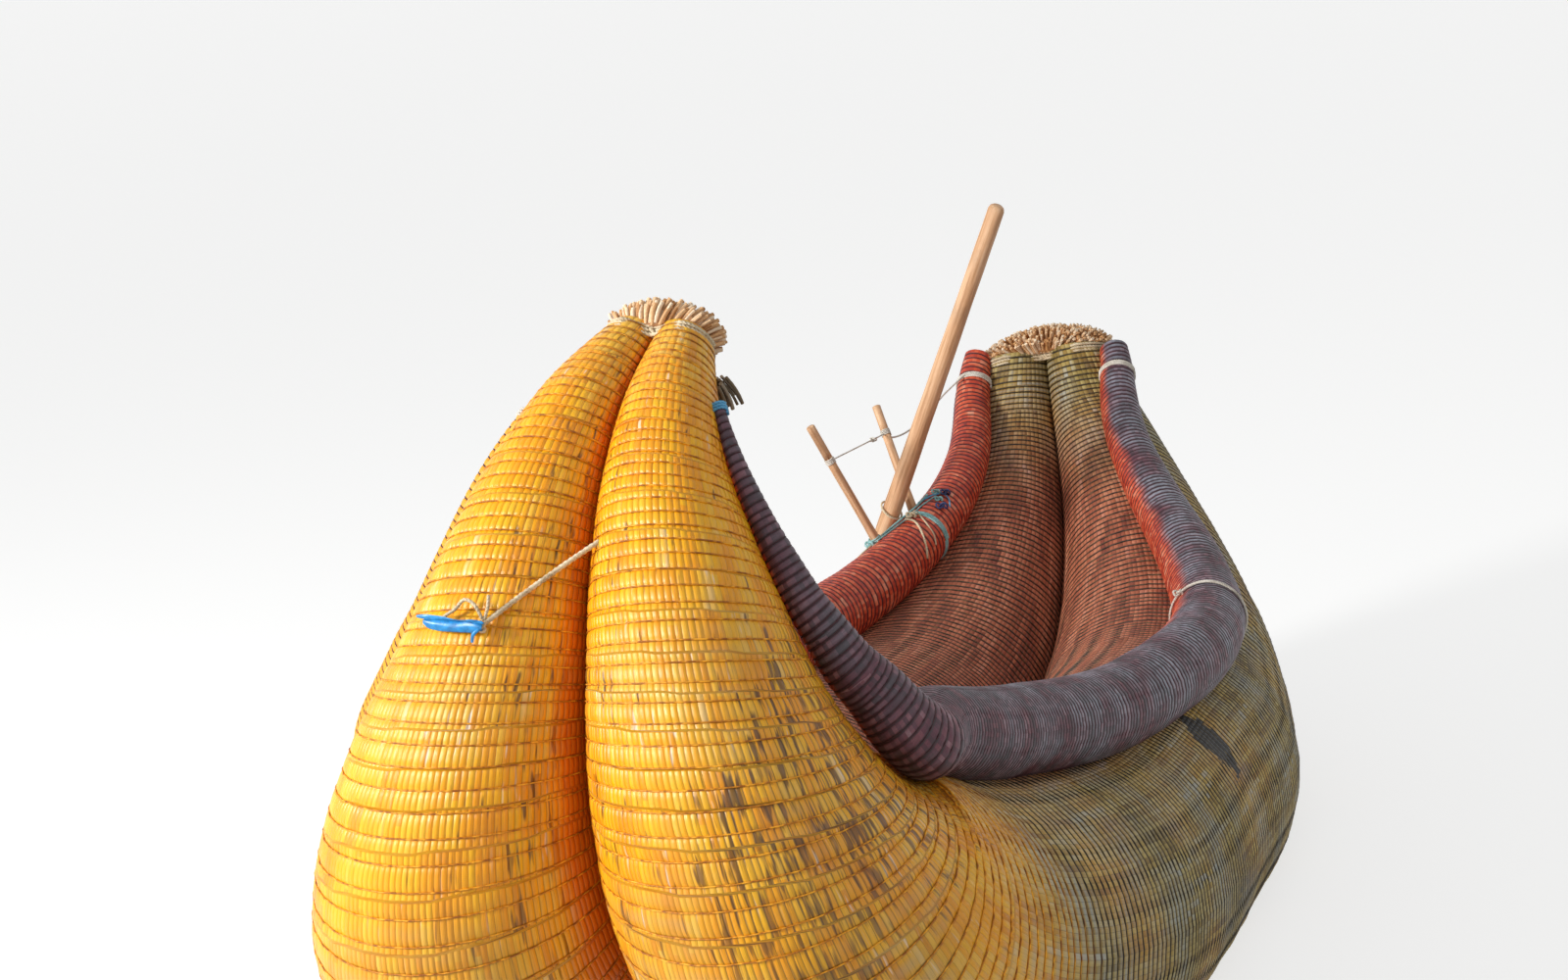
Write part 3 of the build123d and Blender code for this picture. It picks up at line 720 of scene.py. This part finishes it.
def fibre_material(name, pale, dark, scale, roughness=0.8):
    """Plant fibre, cotton, nylon or polythene in two tones. The fibres are too fine to show, so a mottle is
    drawn instead, 1 / scale metres wide: 2 to 2.5 mm on the cords and 17 mm on the plastic strip."""
    material, add, shader = new_material(name, Roughness=roughness)
    spot = add("ShaderNodeTexCoord").outputs["Object"]
    fine = add(NOISE, spot, scale, 5.0, 0.7)
    broad = add(NOISE, spot, scale / 12, 2.0)
    both = add(TIMES_PLUS, fine, 0.6, add(TIMES, broad, 0.4))
    tones = add(RAMP, both)
    ramp(tones, ((0.36, dark), (0.56, pale)))
    colour_and_bump(add, shader, tones, fine, 0.6, 0.001)
    return material


def cut_reed_material(name, *stops):
    """Cut ends of dry reed: each stalk has its own tone. Its fibres are too fine to show, so a mottle of
    about 4 mm is drawn instead."""
    material, add, shader = new_material(name, Roughness=0.7)
    tone = add("ShaderNodeAttribute", attribute_name="tone")
    tones = add(RAMP, tone.outputs["Fac"])
    ramp(tones, stops)
    spot = add("ShaderNodeTexCoord").outputs["Object"]
    fine = add(NOISE, spot, 260.0, 3.0)
    shaded = add(V_SCALED, tones, add(RANGE, fine, 0.3, 0.7, 0.78, 1.08))
    colour_and_bump(add, shader, shaded, fine, 0.4, 0.001)
    return material


def peeled_wood_material(name, along):
    """A peeled pole: pale sapwood with its grain along the pole, grey-brown where it is worn. The grain is
    drawn about 11 mm wide and 250 mm long, coarser than real grain, so that it shows."""
    material, add, shader = new_material(name, Roughness=0.55)
    spot = add("ShaderNodeTexCoord").outputs["Object"]
    long_grain = add("ShaderNodeMapping", {
        "Vector": spot, "Rotation": tuple(along.to_track_quat("Z", "Y").to_euler()),
        "Scale": (1 / 90, 1 / 90, 1 / 4),
    }, vector_type="TEXTURE")
    grain = add(NOISE, long_grain, 1.0, 5.0, 0.6)
    tones = add(RAMP, grain)
    ramp(tones, ((0.3, "#A87650"), (0.44, "#D2A074"), (0.58, "#EABB90"), (0.75, "#F4D2AC")))
    much = add(RANGE, add(NOISE, spot, 7.0, 4.0), 0.5, 0.72, 0.0, 0.5)
    worn = add(MIX, much, tones, linear("#9A7C60"))
    colour_and_bump(add, shader, worn, grain, 0.45, 0.0015)
    return material


# The two reed materials differ only in how wide the painted bounce light at the seam is.
reed = {
    port: reed_material("dry_reed_port", 0.44, 0.47),
    starboard: reed_material("dry_reed_starboard", 0.395, 0.425),
}
# The rolls take one dye. They differ in where the painted sunlight falls round them, wider on the starboard
# roll, and in the starboard roll's golden bow.
dyed_reed = {
    port: dyed_material("dyed_reed_port", 0.0, 0.14, 0.0),
    starboard: dyed_material("dyed_reed_starboard", 0.1, 0.3, 1.0),
}
cut_reed = cut_reed_material(
    "cut_reed", (0.0, "#A8703C"), (0.2, "#D29A60"), (0.45, "#ECBC88"), (0.7, "#F6CFA2"), (0.9, "#FCE4C4"))
dark_reed = cut_reed_material(
    "weathered_reed_ends", (0.0, "#4A3C2C"), (0.4, "#7A6850"), (0.7, "#A39480"), (0.95, "#C8BCA8"))
reed_cord = binding_cord_material()
# Plant fibre and cotton are matt, twisted nylon has a soft sheen, and thin polythene shines more.
dyed_cord = fibre_material("dyed_binding_cord", "#4A2028", "#1E0E14", 500)
white_rope = fibre_material("white_cotton_rope", "#EFE8DC", "#B8AA98", 400)
cream_rope = fibre_material("cream_sisal_rope", "#EAD9B8", "#A98D66", 400)
teal_rope = fibre_material("teal_nylon_rope", "#A8D6D4", "#5E9C9E", 400, 0.5)
blue_rope = fibre_material("sky_blue_nylon_cord", "#6FBCE6", "#3A86B4", 400, 0.5)
navy_rope = fibre_material("navy_nylon_rope", "#3A4A80", "#1C2448", 400, 0.5)
blue_strip = fibre_material("blue_polythene_strip", "#2098DC", "#0E64A0", 60, 0.35)


# The two bundles and the two rolls.


def line_length(points):
    return sum((b - a).length for a, b in zip(points, points[1:]))


def smooth_line(points, radii):
    """The line and its sizes with two more rounds of halfways, so that no corner shows."""
    rows = [[*point, radius] for point, radius in zip(points, radii)]
    for _ in range(2):
        rows = with_halfways(rows)
    return [Vector(row[:3]) for row in rows], [row[3] for row in rows]


def smoothed(points):
    return smooth_line(points, [0] * len(points))[0]


def places(route):
    """The places of a route that is given in millimetres."""
    return [Vector(place) * MM for place in route]


hull_pitch, roll_pitch = 27 * MM, 19 * MM
# A roll's skin starts this far under the solid's surface, so that its swells end at it.
skin_under = 2.5 * MM
hull_points, hull_radii = smooth_line(HULL_LINE, [s[3] for s in HULL])
for side, side_name in SIDES:
    turns = round(line_length(hull_points) / hull_pitch)
    shape = dict(Turns=turns, Side=float(side), Pinch=seam_pinch, Least=seam_gap / 2, Uneven=0.3, Wider=0.1,
                 Bunched=0.22)
    skin = grown(f"hull_reeds_{side_name}", guide_curve(hull_points, hull_radii), BOUND_SKIN,
                 Material=reed[side], Columns=40, Swell=3.5 * MM, Reed_width=13 * MM, **shape)
    keep(skin, "reed", f"hull_bundle_{side_name}")
    cord = grown(f"hull_binding_{side_name}", guide_curve(hull_points, hull_radii), BINDING,
                 Material=reed_cord, Points_a_turn=32, Cord_radius=1.8 * MM, Lift=2.4 * MM, **shape)
    keep(cord, "reed")
    points, radii = smooth_line(ROLL_CENTRES[side], [s[3] - skin_under for s in ROLL])
    turns = round(line_length(points) / roll_pitch)
    shape = dict(Turns=turns, Side=float(side), Uneven=0.5, Wider=-0.15)
    skin = grown(f"gunwale_reeds_{side_name}", guide_curve(points, radii), BOUND_SKIN,
                 Material=dyed_reed[side], Columns=24, Swell=2.6 * MM, Reed_width=9 * MM, **shape)
    keep(skin, "dyed_roll", f"gunwale_roll_{side_name}")
    cord = grown(f"gunwale_binding_{side_name}", guide_curve(points, radii), BINDING,
                 Material=dyed_cord, Points_a_turn=16, Cord_radius=1.6 * MM, Lift=0.8 * MM, **shape)
    keep(cord, "dyed_roll")


# Ropes and cords.


def winding(plane, inner, cord, turns, half=0.0, dip=0.0):
    """Points of turns of cord side by side round a roll, or round two lobes whose axes are half to each side;
    between the lobes the cord sinks by dip."""
    steps = 40
    points = []
    for i in range(steps * turns + 1):
        angle = 2 * pi * i / steps
        reach = inner + cord / 2
        x, y = reach * cos(angle), reach * sin(angle)
        if half:
            between = abs(cos(angle)) < 0.01
            x += 0 if between else half if cos(angle) > 0 else -half
            y -= (dip if between else 0) * (1 if y > 0 else -1)
        points.append(on_plane(plane, x, y, (i / steps - turns / 2) * cord))
    return points


def rope(name, points, diameter, material, *nodes, body="boat", closed=False):
    """A laid rope along the points, standing for its nodes."""
    guide = guide_curve(points, closed=closed)
    piece = grown(name, guide, LAID_ROPE, Diameter=diameter, Material=material)
    return keep(piece, "rope", *nodes, body=body)


def wound(name, plane, inner, cord, turns, material, *nodes, **lobes):
    """A rope wound round a roll, or round two lobes."""
    return rope(name, winding(plane, inner, cord, turns, **lobes), cord, material, *nodes)


def knot(name, centre, along, size, diameter, material, *nodes):
    """A simple knot pulled tight: a rope that closes on itself in a trefoil."""
    _, x, y, z = across(centre, along)
    points = []
    for t in circle(48):
        a, b, c = sin(t) + 2 * sin(2 * t), cos(t) - 2 * cos(2 * t), -sin(3 * t)
        points.append(centre + (x * a + y * c * 1.3 + z * b) * (size / 3))
    return rope(name, points, diameter, material, *nodes, closed=True)


def hung_line(route):
    """The points of the smooth line that a free cord follows, along a route in millimetres."""
    guide = guide_curve([[value * MM for value in place] for place in route], kind="NURBS")
    spline = guide.data.splines[0]
    spline.order_u, spline.use_endpoint_u, spline.resolution_u = 3, True, 12
    return [vertex.co.copy() for vertex in made_mesh(guide).vertices]


BOW_ROPE = (
    (2398, -112, 1613), (2430, -160, 1586), (2462, -212, 1554), (2521, -266, 1519), (2563, -308, 1489),
)
STERN_GUY = (
    (-848, -552, 1212), (-905, -545, 1190), (-985, -535, 1182), (-1068, -524, 1186), (-1150, -512, 1199),
    (-1230, -499, 1221), (-1314, -476, 1256), (-1384, -434, 1292),
)
BOW_LOOP = (
    (2564, -314, 1493), (2558, -330, 1523), (2556, -352, 1534), (2560, -372, 1516), (2566, -398, 1500),
    (2570, -386, 1484), (2574, -350, 1482),
)
BOW_END = ((2563, -312, 1492), (2552, -306, 1516), (2545, -304, 1540))
BOW_TAIL = ((2396, -116, 1609), (2408, -103, 1619), (2412, -88, 1632), (2404, -66, 1645))
bow_thick, guy_thick, end_thick = 12 * MM, 6 * MM, 8 * MM
bow_line = hung_line(BOW_ROPE)
guy_line = hung_line(STERN_GUY)
bow_rope = rope("bow_rope_laid", bow_line, bow_thick, cream_rope, "bow_rope")
guy_rope = rope("stern_guy_laid", guy_line, guy_thick, white_rope, "stern_guy")
last_way, knot_size = bow_line[-1] - bow_line[-4], 13 * MM
knot_place = bow_line[-1] + last_way.normalized() * knot_size
bow_knot = knot("bow_rope_knot_tied", knot_place, last_way, knot_size, 9 * MM, cream_rope, "bow_rope_knot")
bow_loop = rope("bow_rope_loop", smoothed(places(BOW_LOOP)), end_thick, cream_rope)
bow_end = rope("bow_rope_end", smoothed(places(BOW_END)), end_thick, cream_rope)


def strip(name, route, wide, turn, twist, seed):
    """A crumpled strip of thin plastic along a route, so wide and with rounded ends. It starts at one turn
    about the route and twists on from there."""
    crumple, thickness, hollow = 1.5 * MM, 1.2 * MM, 0.22
    rng = random.Random(seed)
    points = smoothed(places(route))
    vertices, faces = [], []
    for i, point in enumerate(points):
        share = i / (len(points) - 1)
        along = points[min(i + 1, len(points) - 1)] - points[max(i - 1, 0)]
        _, x, y, _ = across(point, along)
        angle = turn + twist * share
        side, face = x * cos(angle) + y * sin(angle), y * cos(angle) - x * sin(angle)
        width = wide * min(1, 0.45 + 4 * min(share, 1 - share))
        for k in range(5):
            off = (k - 2) / 4
            rise = face * (hollow * wide * (1 - 4 * off * off) + rng.uniform(-crumple, crumple))
            vertices.append(point + side * off * width + rise)
        if i:
            for k in range(4):
                a = 5 * (i - 1) + k
                faces.append((a, a + 1, a + 6, a + 5))
    piece = mesh_object(name, vertices, faces, blue_strip)
    solid = piece.modifiers.new("thickness", "SOLIDIFY")
    solid.thickness = thickness
    smooth = piece.modifiers.new("smooth", "SUBSURF")
    smooth.levels = smooth.render_levels = 1
    return linked(name, made_mesh(piece))


TOGGLE_FLAP = ((2562, -440, 1494), (2572, -400, 1488), (2578, -350, 1486), (2584, -305, 1484))
TOGGLE_STRAND = ((2560, -455, 1504), (2574, -405, 1504), (2582, -350, 1500), (2586, -303, 1494))
TOGGLE_TAIL = ((2586, -308, 1486), (2589, -326, 1472), (2588, -330, 1456))
toggle_flap = strip("bow_toggle_flap", TOGGLE_FLAP, 24 * MM, 0.5, 0.9, 3)
keep(toggle_flap, "blue_plastic", "bow_toggle")
toggle_thin = strip("bow_toggle_strand", TOGGLE_STRAND, 10 * MM, 1.2, 1.6, 5)
keep(toggle_thin, "blue_plastic")
toggle_tail = strip("bow_toggle_tail", TOGGLE_TAIL, 9 * MM, 0.2, 0.5, 7)
keep(toggle_tail, "blue_plastic")
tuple(bow_line[0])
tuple(guy_line[0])
rope("bow_rope_tail", places(BOW_TAIL), 9 * MM, cream_rope)

# The visible cords are thinner than the solids that they stand for, and lie in the same places.
tip_cord, tip_turns, tip_lashing_back = 12 * MM * 0.8, 3, 24 * MM
for tip, inwards, name in ((0, 1, "stern"), (-1, -1, "bow")):
    plane, radius = HULL_PLANES[tip], HULL[tip][3]
    neighbour = tip + inwards
    growth = (HULL[neighbour][3] - radius) / (HULL_PLANES[neighbour][0] - plane[0]).length
    middle = (on_plane(plane, 0, 0, inwards * tip_lashing_back), *plane[1:])
    lobe = radius + growth * tip_lashing_back - cord_bite
    wound(f"{name}_tip_rope", middle, lobe + 1 * MM, tip_cord, tip_turns, cream_rope, f"{name}_tip_lashing",
          half=radius * seam_pinch, dip=radius * 0.42)
    seam_place = on_plane(middle, 0, inwards * lobe * 0.62)
    knot(f"{name}_tip_knot", seam_place, middle[2], 12 * MM, 8 * MM, cream_rope)

tie_cord, tie_turns, tie_back = 8 * MM * 0.85, 3, 0.3
for side, side_name in SIDES:
    bow_place, stern_place = on_roll(side, len(ROLL) - 2, 1 - tie_back), on_roll(side, 1, tie_back)
    for end, (plane, radius) in (("bow", bow_place), ("stern", stern_place)):
        colour = blue_rope if (side, end) == (port, "bow") else white_rope
        tie = f"roll_tie_{end}_{side_name}"
        wound(tie + "_rope", plane, radius - cord_bite + 2 * MM, tie_cord, tie_turns, colour, tie)
ring_cord = 7 * MM
port_ring, port_ring_radius = on_roll_at(port, -60 * MM)
wound("port_roll_rope", port_ring, port_ring_radius + 1 * MM, ring_cord, 2, white_rope, "port_roll_tie")
knot_reach, knot_angle = port_ring_radius + 8 * MM, 0.8
knot_place = on_plane(port_ring, -knot_reach * cos(knot_angle), knot_reach * sin(knot_angle), 6 * MM)
knot("port_roll_knot", knot_place, port_ring[3], 13 * MM, ring_cord, white_rope)


# The stakes and the oar.


def round_roll(angle):
    return Vector((0, -cos(radians(angle)), sin(radians(angle))))


def peeled_pole(name, wood, place, along, profile, node, body="boat", flat_below=None, x_dir=None):
    """A hand-peeled pole through the profile's heights and radii, a little out of true and never quite round.
    Below flat_below it has a flat side. x_dir is the direction of its own X."""
    sides = 24
    z = along.normalized()
    x = x_dir.normalized() if x_dir else across(place, z)[1]
    y = z.cross(x)
    rings = []
    for (start, start_radius), (end, end_radius) in zip(profile, profile[1:]):
        count = max(1, round((end - start) / (24 * MM)))
        for i in range(count):
            radius = start_radius + (end_radius - start_radius) * i / count
            rings.append((start + (end - start) * i / count, radius))
    rings.append(profile[-1])
    vertices = []
    for height, radius in rings:
        for angle in circle(sides):
            uneven = noise.noise(Vector((cos(angle) * 0.8, sin(angle) * 0.8, height * 9 + place.x * 3)))
            size = radius * (0.98 + 0.035 * min(0.4, uneven))
            a, b = size * cos(angle), size * sin(angle)
            if flat_below is not None and height < flat_below:
                a = min(a, 0.0)
            vertices.append(place + x * a + y * b + z * height)
    last = (len(rings) - 1) * sides
    caps = tuple(reversed(range(sides))), tuple(range(last, last + sides))
    faces = [caps[0], *ring_faces(len(rings), sides), caps[1]]
    return keep(mesh_object(name, vertices, faces, wood), "peeled_wood", node, body=body)


thole_radius, notch_radius, stake_cord = 13 * MM, 11.5 * MM, 5 * MM * 0.9
tholes_x, stake_angle = -700, 50
fore_along, fore_way = 160, (130, -125, 370)
notches = []
for name, along, direction, notch in (
    ("fore", fore_along, fore_way, 290), ("aft", -60, (-120, -120, 290), 246),
):
    plane, radius = on_roll_at(starboard, (tholes_x + along) * MM)
    foot = plane[0] + round_roll(stake_angle) * radius
    way = Vector(direction) * MM
    length, middle = way.length, notch * MM
    cut = middle - 9 * MM
    peeled_pole(f"thole_{name}_pole", peeled_wood_material(f"peeled_{name}_stake_wood", way), foot, way, (
        (-70 * MM, 5 * MM), (-23 * MM, 15 * MM), (0, 15 * MM), (60 * MM, thole_radius),
        (cut, thole_radius), (cut + 1.5 * MM, notch_radius), (cut + 18 * MM, notch_radius),
        (cut + 18.2 * MM, thole_radius), (length - 2 * MM, thole_radius), (length, thole_radius - 2.5 * MM),
    ), f"thole_{name}")
    place = foot + way.normalized() * middle
    notches.append(place)
    wrap = f"thole_wrap_{name}"
    wound(wrap + "_rope", across(place, way), 11 * MM, stake_cord, 4, white_rope, wrap)
span = notches[1] - notches[0]
along = span.normalized()
tight = [notches[0] + along * 15 * MM + (span - along * 30 * MM) * (i / 8) for i in range(9)]
rope("stake_cord_laid", tight, stake_cord, white_rope, "tight_stake_cord")
knot("stake_knot_tied", notches[0] + span * 0.76, span, 11 * MM, 5 * MM, white_rope, "stake_cord_knot")

lashing_plane, lashing_radius = on_roll_at(starboard, tholes_x * MM)
wound("thole_lashing_rope", lashing_plane, lashing_radius - cord_bite - 1 * MM, 7 * MM, 3, teal_rope,
      "thole_lashing")


def on_starboard_roll(x, angle, lift):
    """A place on the starboard roll's skin, at an angle outboard from upright."""
    plane, radius = on_roll_at(starboard, x * MM)
    return plane[0] + Vector((0, -sin(radians(angle)), cos(radians(angle)))) * (radius + lift)


for name, diameter, material, steps in (
    ("teal_crest", 8, teal_rope, ((-505, 48), (-560, 36), (-640, 26), (-720, 18), (-800, 14))),
    ("teal_strand", 5, teal_rope, ((-520, 30), (-590, 16), (-665, 8), (-735, 4), (-790, -8))),
    ("cream_inboard", 8, cream_rope, ((-640, 10), (-625, -14), (-590, -40), (-560, -66), (-545, -84))),
    ("cream_second", 6, cream_rope, ((-700, 12), (-668, -10), (-640, -34), (-625, -60), (-612, -78))),
    ("cream_outboard", 6, cream_rope, ((-560, 34), (-505, 44), (-455, 56), (-418, 70))),
    ("cream_low", 5, cream_rope, ((-545, 50), (-490, 62), (-450, 74), (-430, 88))),
    ("blue_strand", 6, blue_rope, ((-760, 22), (-790, 2), (-806, -14), (-800, -34), (-770, -48))),
):
    points = smoothed([on_starboard_roll(x, angle, diameter * 0.45 * MM) for x, angle in steps])
    rope("rowlock_" + name, points, diameter * MM, material)
for name, x, angle, size, diameter, material in (
    ("teal_knot", -806, -4, 13, 6, teal_rope), ("teal_second_knot", -772, -20, 12, 6, teal_rope),
    ("navy_knot", -812, -22, 15, 6, navy_rope), ("navy_low_knot", -742, -34, 18, 6, navy_rope),
    ("cream_knot", -655, 2, 15, 8, cream_rope), ("fore_knot", -520, 44, 14, 8, teal_rope),
):
    centre = on_starboard_roll(x, angle, size * 0.55 * MM)
    way = Vector((0.9, -sin(radians(angle)) * 0.3, 0.2))
    knot("rowlock_" + name, centre, way, size * MM, diameter * MM, material)
foot_plane, foot_radius = on_roll_at(starboard, (tholes_x + fore_along) * MM)
fore_foot = foot_plane[0] + round_roll(stake_angle) * (foot_radius + 8 * MM)
wound("fore_foot_winding", across(fore_foot, Vector(fore_way)), 14 * MM, 6 * MM, 3, teal_rope)

PIVOT = Vector((-0.7, -0.49541, 1.01157))
oar_tilt, oar_turn, lift_range = 27, 16, 35
grip_side = Vector((sin(radians(oar_turn)), cos(radians(oar_turn)), 0))
lift_axis = Vector((0, 0, 1)).cross(grip_side)


def tilted(angle):
    """The direction that leans from upright by the angle, in the oar's own upright plane."""
    return grip_side * sin(radians(angle)) + Vector((0, 0, cos(radians(angle))))


oar_wood = peeled_wood_material("peeled_oar_wood", tilted(oar_tilt))
peeled_pole("oar_shaft_pole", oar_wood, PIVOT, tilted(oar_tilt), (
    (-840 * MM, 24 * MM), (-670.01 * MM, 25 * MM), (-669.99 * MM, 25 * MM), (0, 28.6 * MM),
    (700 * MM, 24.6 * MM), (984 * MM, 24.4 * MM), (994 * MM, 20.5 * MM), (999 * MM, 13 * MM),
    (1000 * MM, 5 * MM),
), "oar_shaft", "oar", flat_below=-670 * MM, x_dir=lift_axis)
for name in ("oar_blade", "oar_pegs"):
    for slot in CAD[name].material_slots:
        slot.material = oar_wood
ring_x, ring_y = lift_axis, tilted(oar_tilt + lift_range / 2).cross(lift_axis)
grommet_middle = 31 * MM / cos(pi / 16) + 3.5 * MM
ring = [PIVOT + (ring_x * cos(t) + ring_y * sin(t)) * grommet_middle for t in circle(48)]
rope("oar_grommet_rope", ring, 7 * MM, cream_rope, "oar_grommet", body="grommet", closed=True)


# The cut ends of the bundles.


def oval_face(plane, wide, high):
    """The vertices and faces of an oval, as a fan round its middle."""
    edge = [on_plane(plane, wide * cos(angle), high * sin(angle)) for angle in circle(32)]
    return [on_plane(plane, 0, 0), *edge], [(0, i + 1, (i + 1) % 32 + 1) for i in range(32)]


def cut_dome(plane, wide, high, rise, outwards):
    """The close-packed middle of a cut bundle, a low dome that the longer ends stand out of."""
    around, up = 36, 7
    vertices = []
    for k in range(up):
        angle = pi / 2 * k / up
        for turn in circle(around):
            bump = 1 + 0.05 * noise.noise(Vector((3 * cos(turn), 3 * sin(turn), k + plane[0].x)))
            x, y = wide * cos(angle) * cos(turn) * bump, high * cos(angle) * sin(turn) * bump
            vertices.append(on_plane(plane, x, y, outwards * rise * sin(angle) * bump))
    vertices.append(on_plane(plane, 0, 0, outwards * rise))
    last = (up - 1) * around
    faces = ring_faces(up, around)
    faces += [(last + i, last + (i + 1) % around, up * around) for i in range(around)]
    faces.append(tuple(reversed(range(around))))
    if outwards < 0:
        faces = [tuple(reversed(face)) for face in faces]
    return vertices, faces


for tip, outwards, name, seed in ((0, -1, "stern", 4), (-1, 1, "bow", 9)):
    plane, radius = HULL_PLANES[tip], HULL[tip][3]
    wide, high = radius * (1 + seam_pinch) * 0.94, radius * 0.92
    base = on_plane(plane, 0, 0, -outwards * 12 * MM)
    dome = cut_dome((base, *plane[1:]), wide, high, 58 * MM, outwards)
    # The middle has no tone of its own, so it takes the cut reed's darkest tone: painted shade between the
    # cut ends.
    keep(mesh_object(f"{name}_cut_middle", *dome, cut_reed), "cut_reed")
    dome = cut_dome((base, *plane[1:]), wide * 0.97, high * 0.97, 54 * MM, outwards)
    reeds = grown(f"{name}_cut_reeds", mesh_object("dome", *dome, cut_reed), CUT_REEDS, Material=cut_reed,
                  Centre=tuple(base), Along=tuple(plane[3] * outwards * 0.6),
                  Towards=(-outwards * 1.0, 0.6, 0.0), Length=44 * MM, Spread=9.0, Seed=seed,
                  Spacing=6.4 * MM, Reed_radius=4.3 * MM, Bend=9 * MM)
    keep(reeds, "cut_reed", f"{name}_tuft")
# Loose dark ends that hang aft below the bow's lashing.
loose_place = Vector((2035, 20, 1856)) * MM
face = oval_face(across(loose_place, Vector((-0.6, 0.05, -0.8))), 24 * MM, 20 * MM)
loose = grown("bow_loose_ends", mesh_object("oval", *face, dark_reed), CUT_REEDS, Material=dark_reed,
              Centre=tuple(loose_place), Along=(-0.62, 0.05, -0.62), Towards=(0.0, 0.0, -1.0),
              Length=72 * MM, Spread=6.0, Seed=21, Spacing=5.5 * MM, Reed_radius=3.6 * MM, Bend=14 * MM)
keep(loose, "cut_reed")


# Floor and light.

waterline, floor_reach = 0.2, 900
pale_floor, add, shader = new_material("pale_floor", Base_Color=linear("#BCBCBA"), Roughness=0.9)
seen = add("ShaderNodeLightPath")
pale = add(LARGER, seen.outputs["Is Camera Ray"], seen.outputs["Is Glossy Ray"])
pale = add(TIMES, pale, 0.64)
feed(shader.inputs["Emission Strength"], pale)
shader.inputs["Emission Color"].default_value = linear("#FFFFFF")
corners = [(x * floor_reach, y * floor_reach, waterline) for x, y in ((-1, -1), (1, -1), (1, 1), (-1, 1))]
floor = mesh_object("floor", corners, ((0, 1, 2, 3),), pale_floor, smooth=False)

world = bpy.data.worlds.new("studio")
scene.world = world
world.use_nodes = True
add = adder(world.node_tree)
seen = add("ShaderNodeLightPath")
plain = add(LARGER, seen.outputs["Is Camera Ray"], seen.outputs["Is Glossy Ray"])
plain = add(LARGER, plain, seen.outputs["Is Transmission Ray"])
strength = add(RANGE, plain, 0.0, 1.0, 0.42, 1.0)
backdrop = world.node_tree.nodes["Background"]
feed(backdrop.inputs["Strength"], strength)
backdrop.inputs["Color"].default_value = linear("#F4F5F6")


def soft_light(name, place, target, size, power):
    """A large square lamp that looks at the target."""
    data = bpy.data.lights.new(name, "AREA")
    data.size, data.energy = size, power
    lamp = linked(name, data)
    lamp.location = place
    lamp.rotation_mode = "QUATERNION"
    lamp.rotation_quaternion = (Vector(target) - Vector(place)).to_track_quat("-Z", "Y")


soft_light("key", (6.6, -6.2, 4.3), (0.8, 0, 0.8), 2.0, 820)
soft_light("fill", (4.5, 7.0, 4.0), (0.8, 0, 0.8), 4.0, 70)
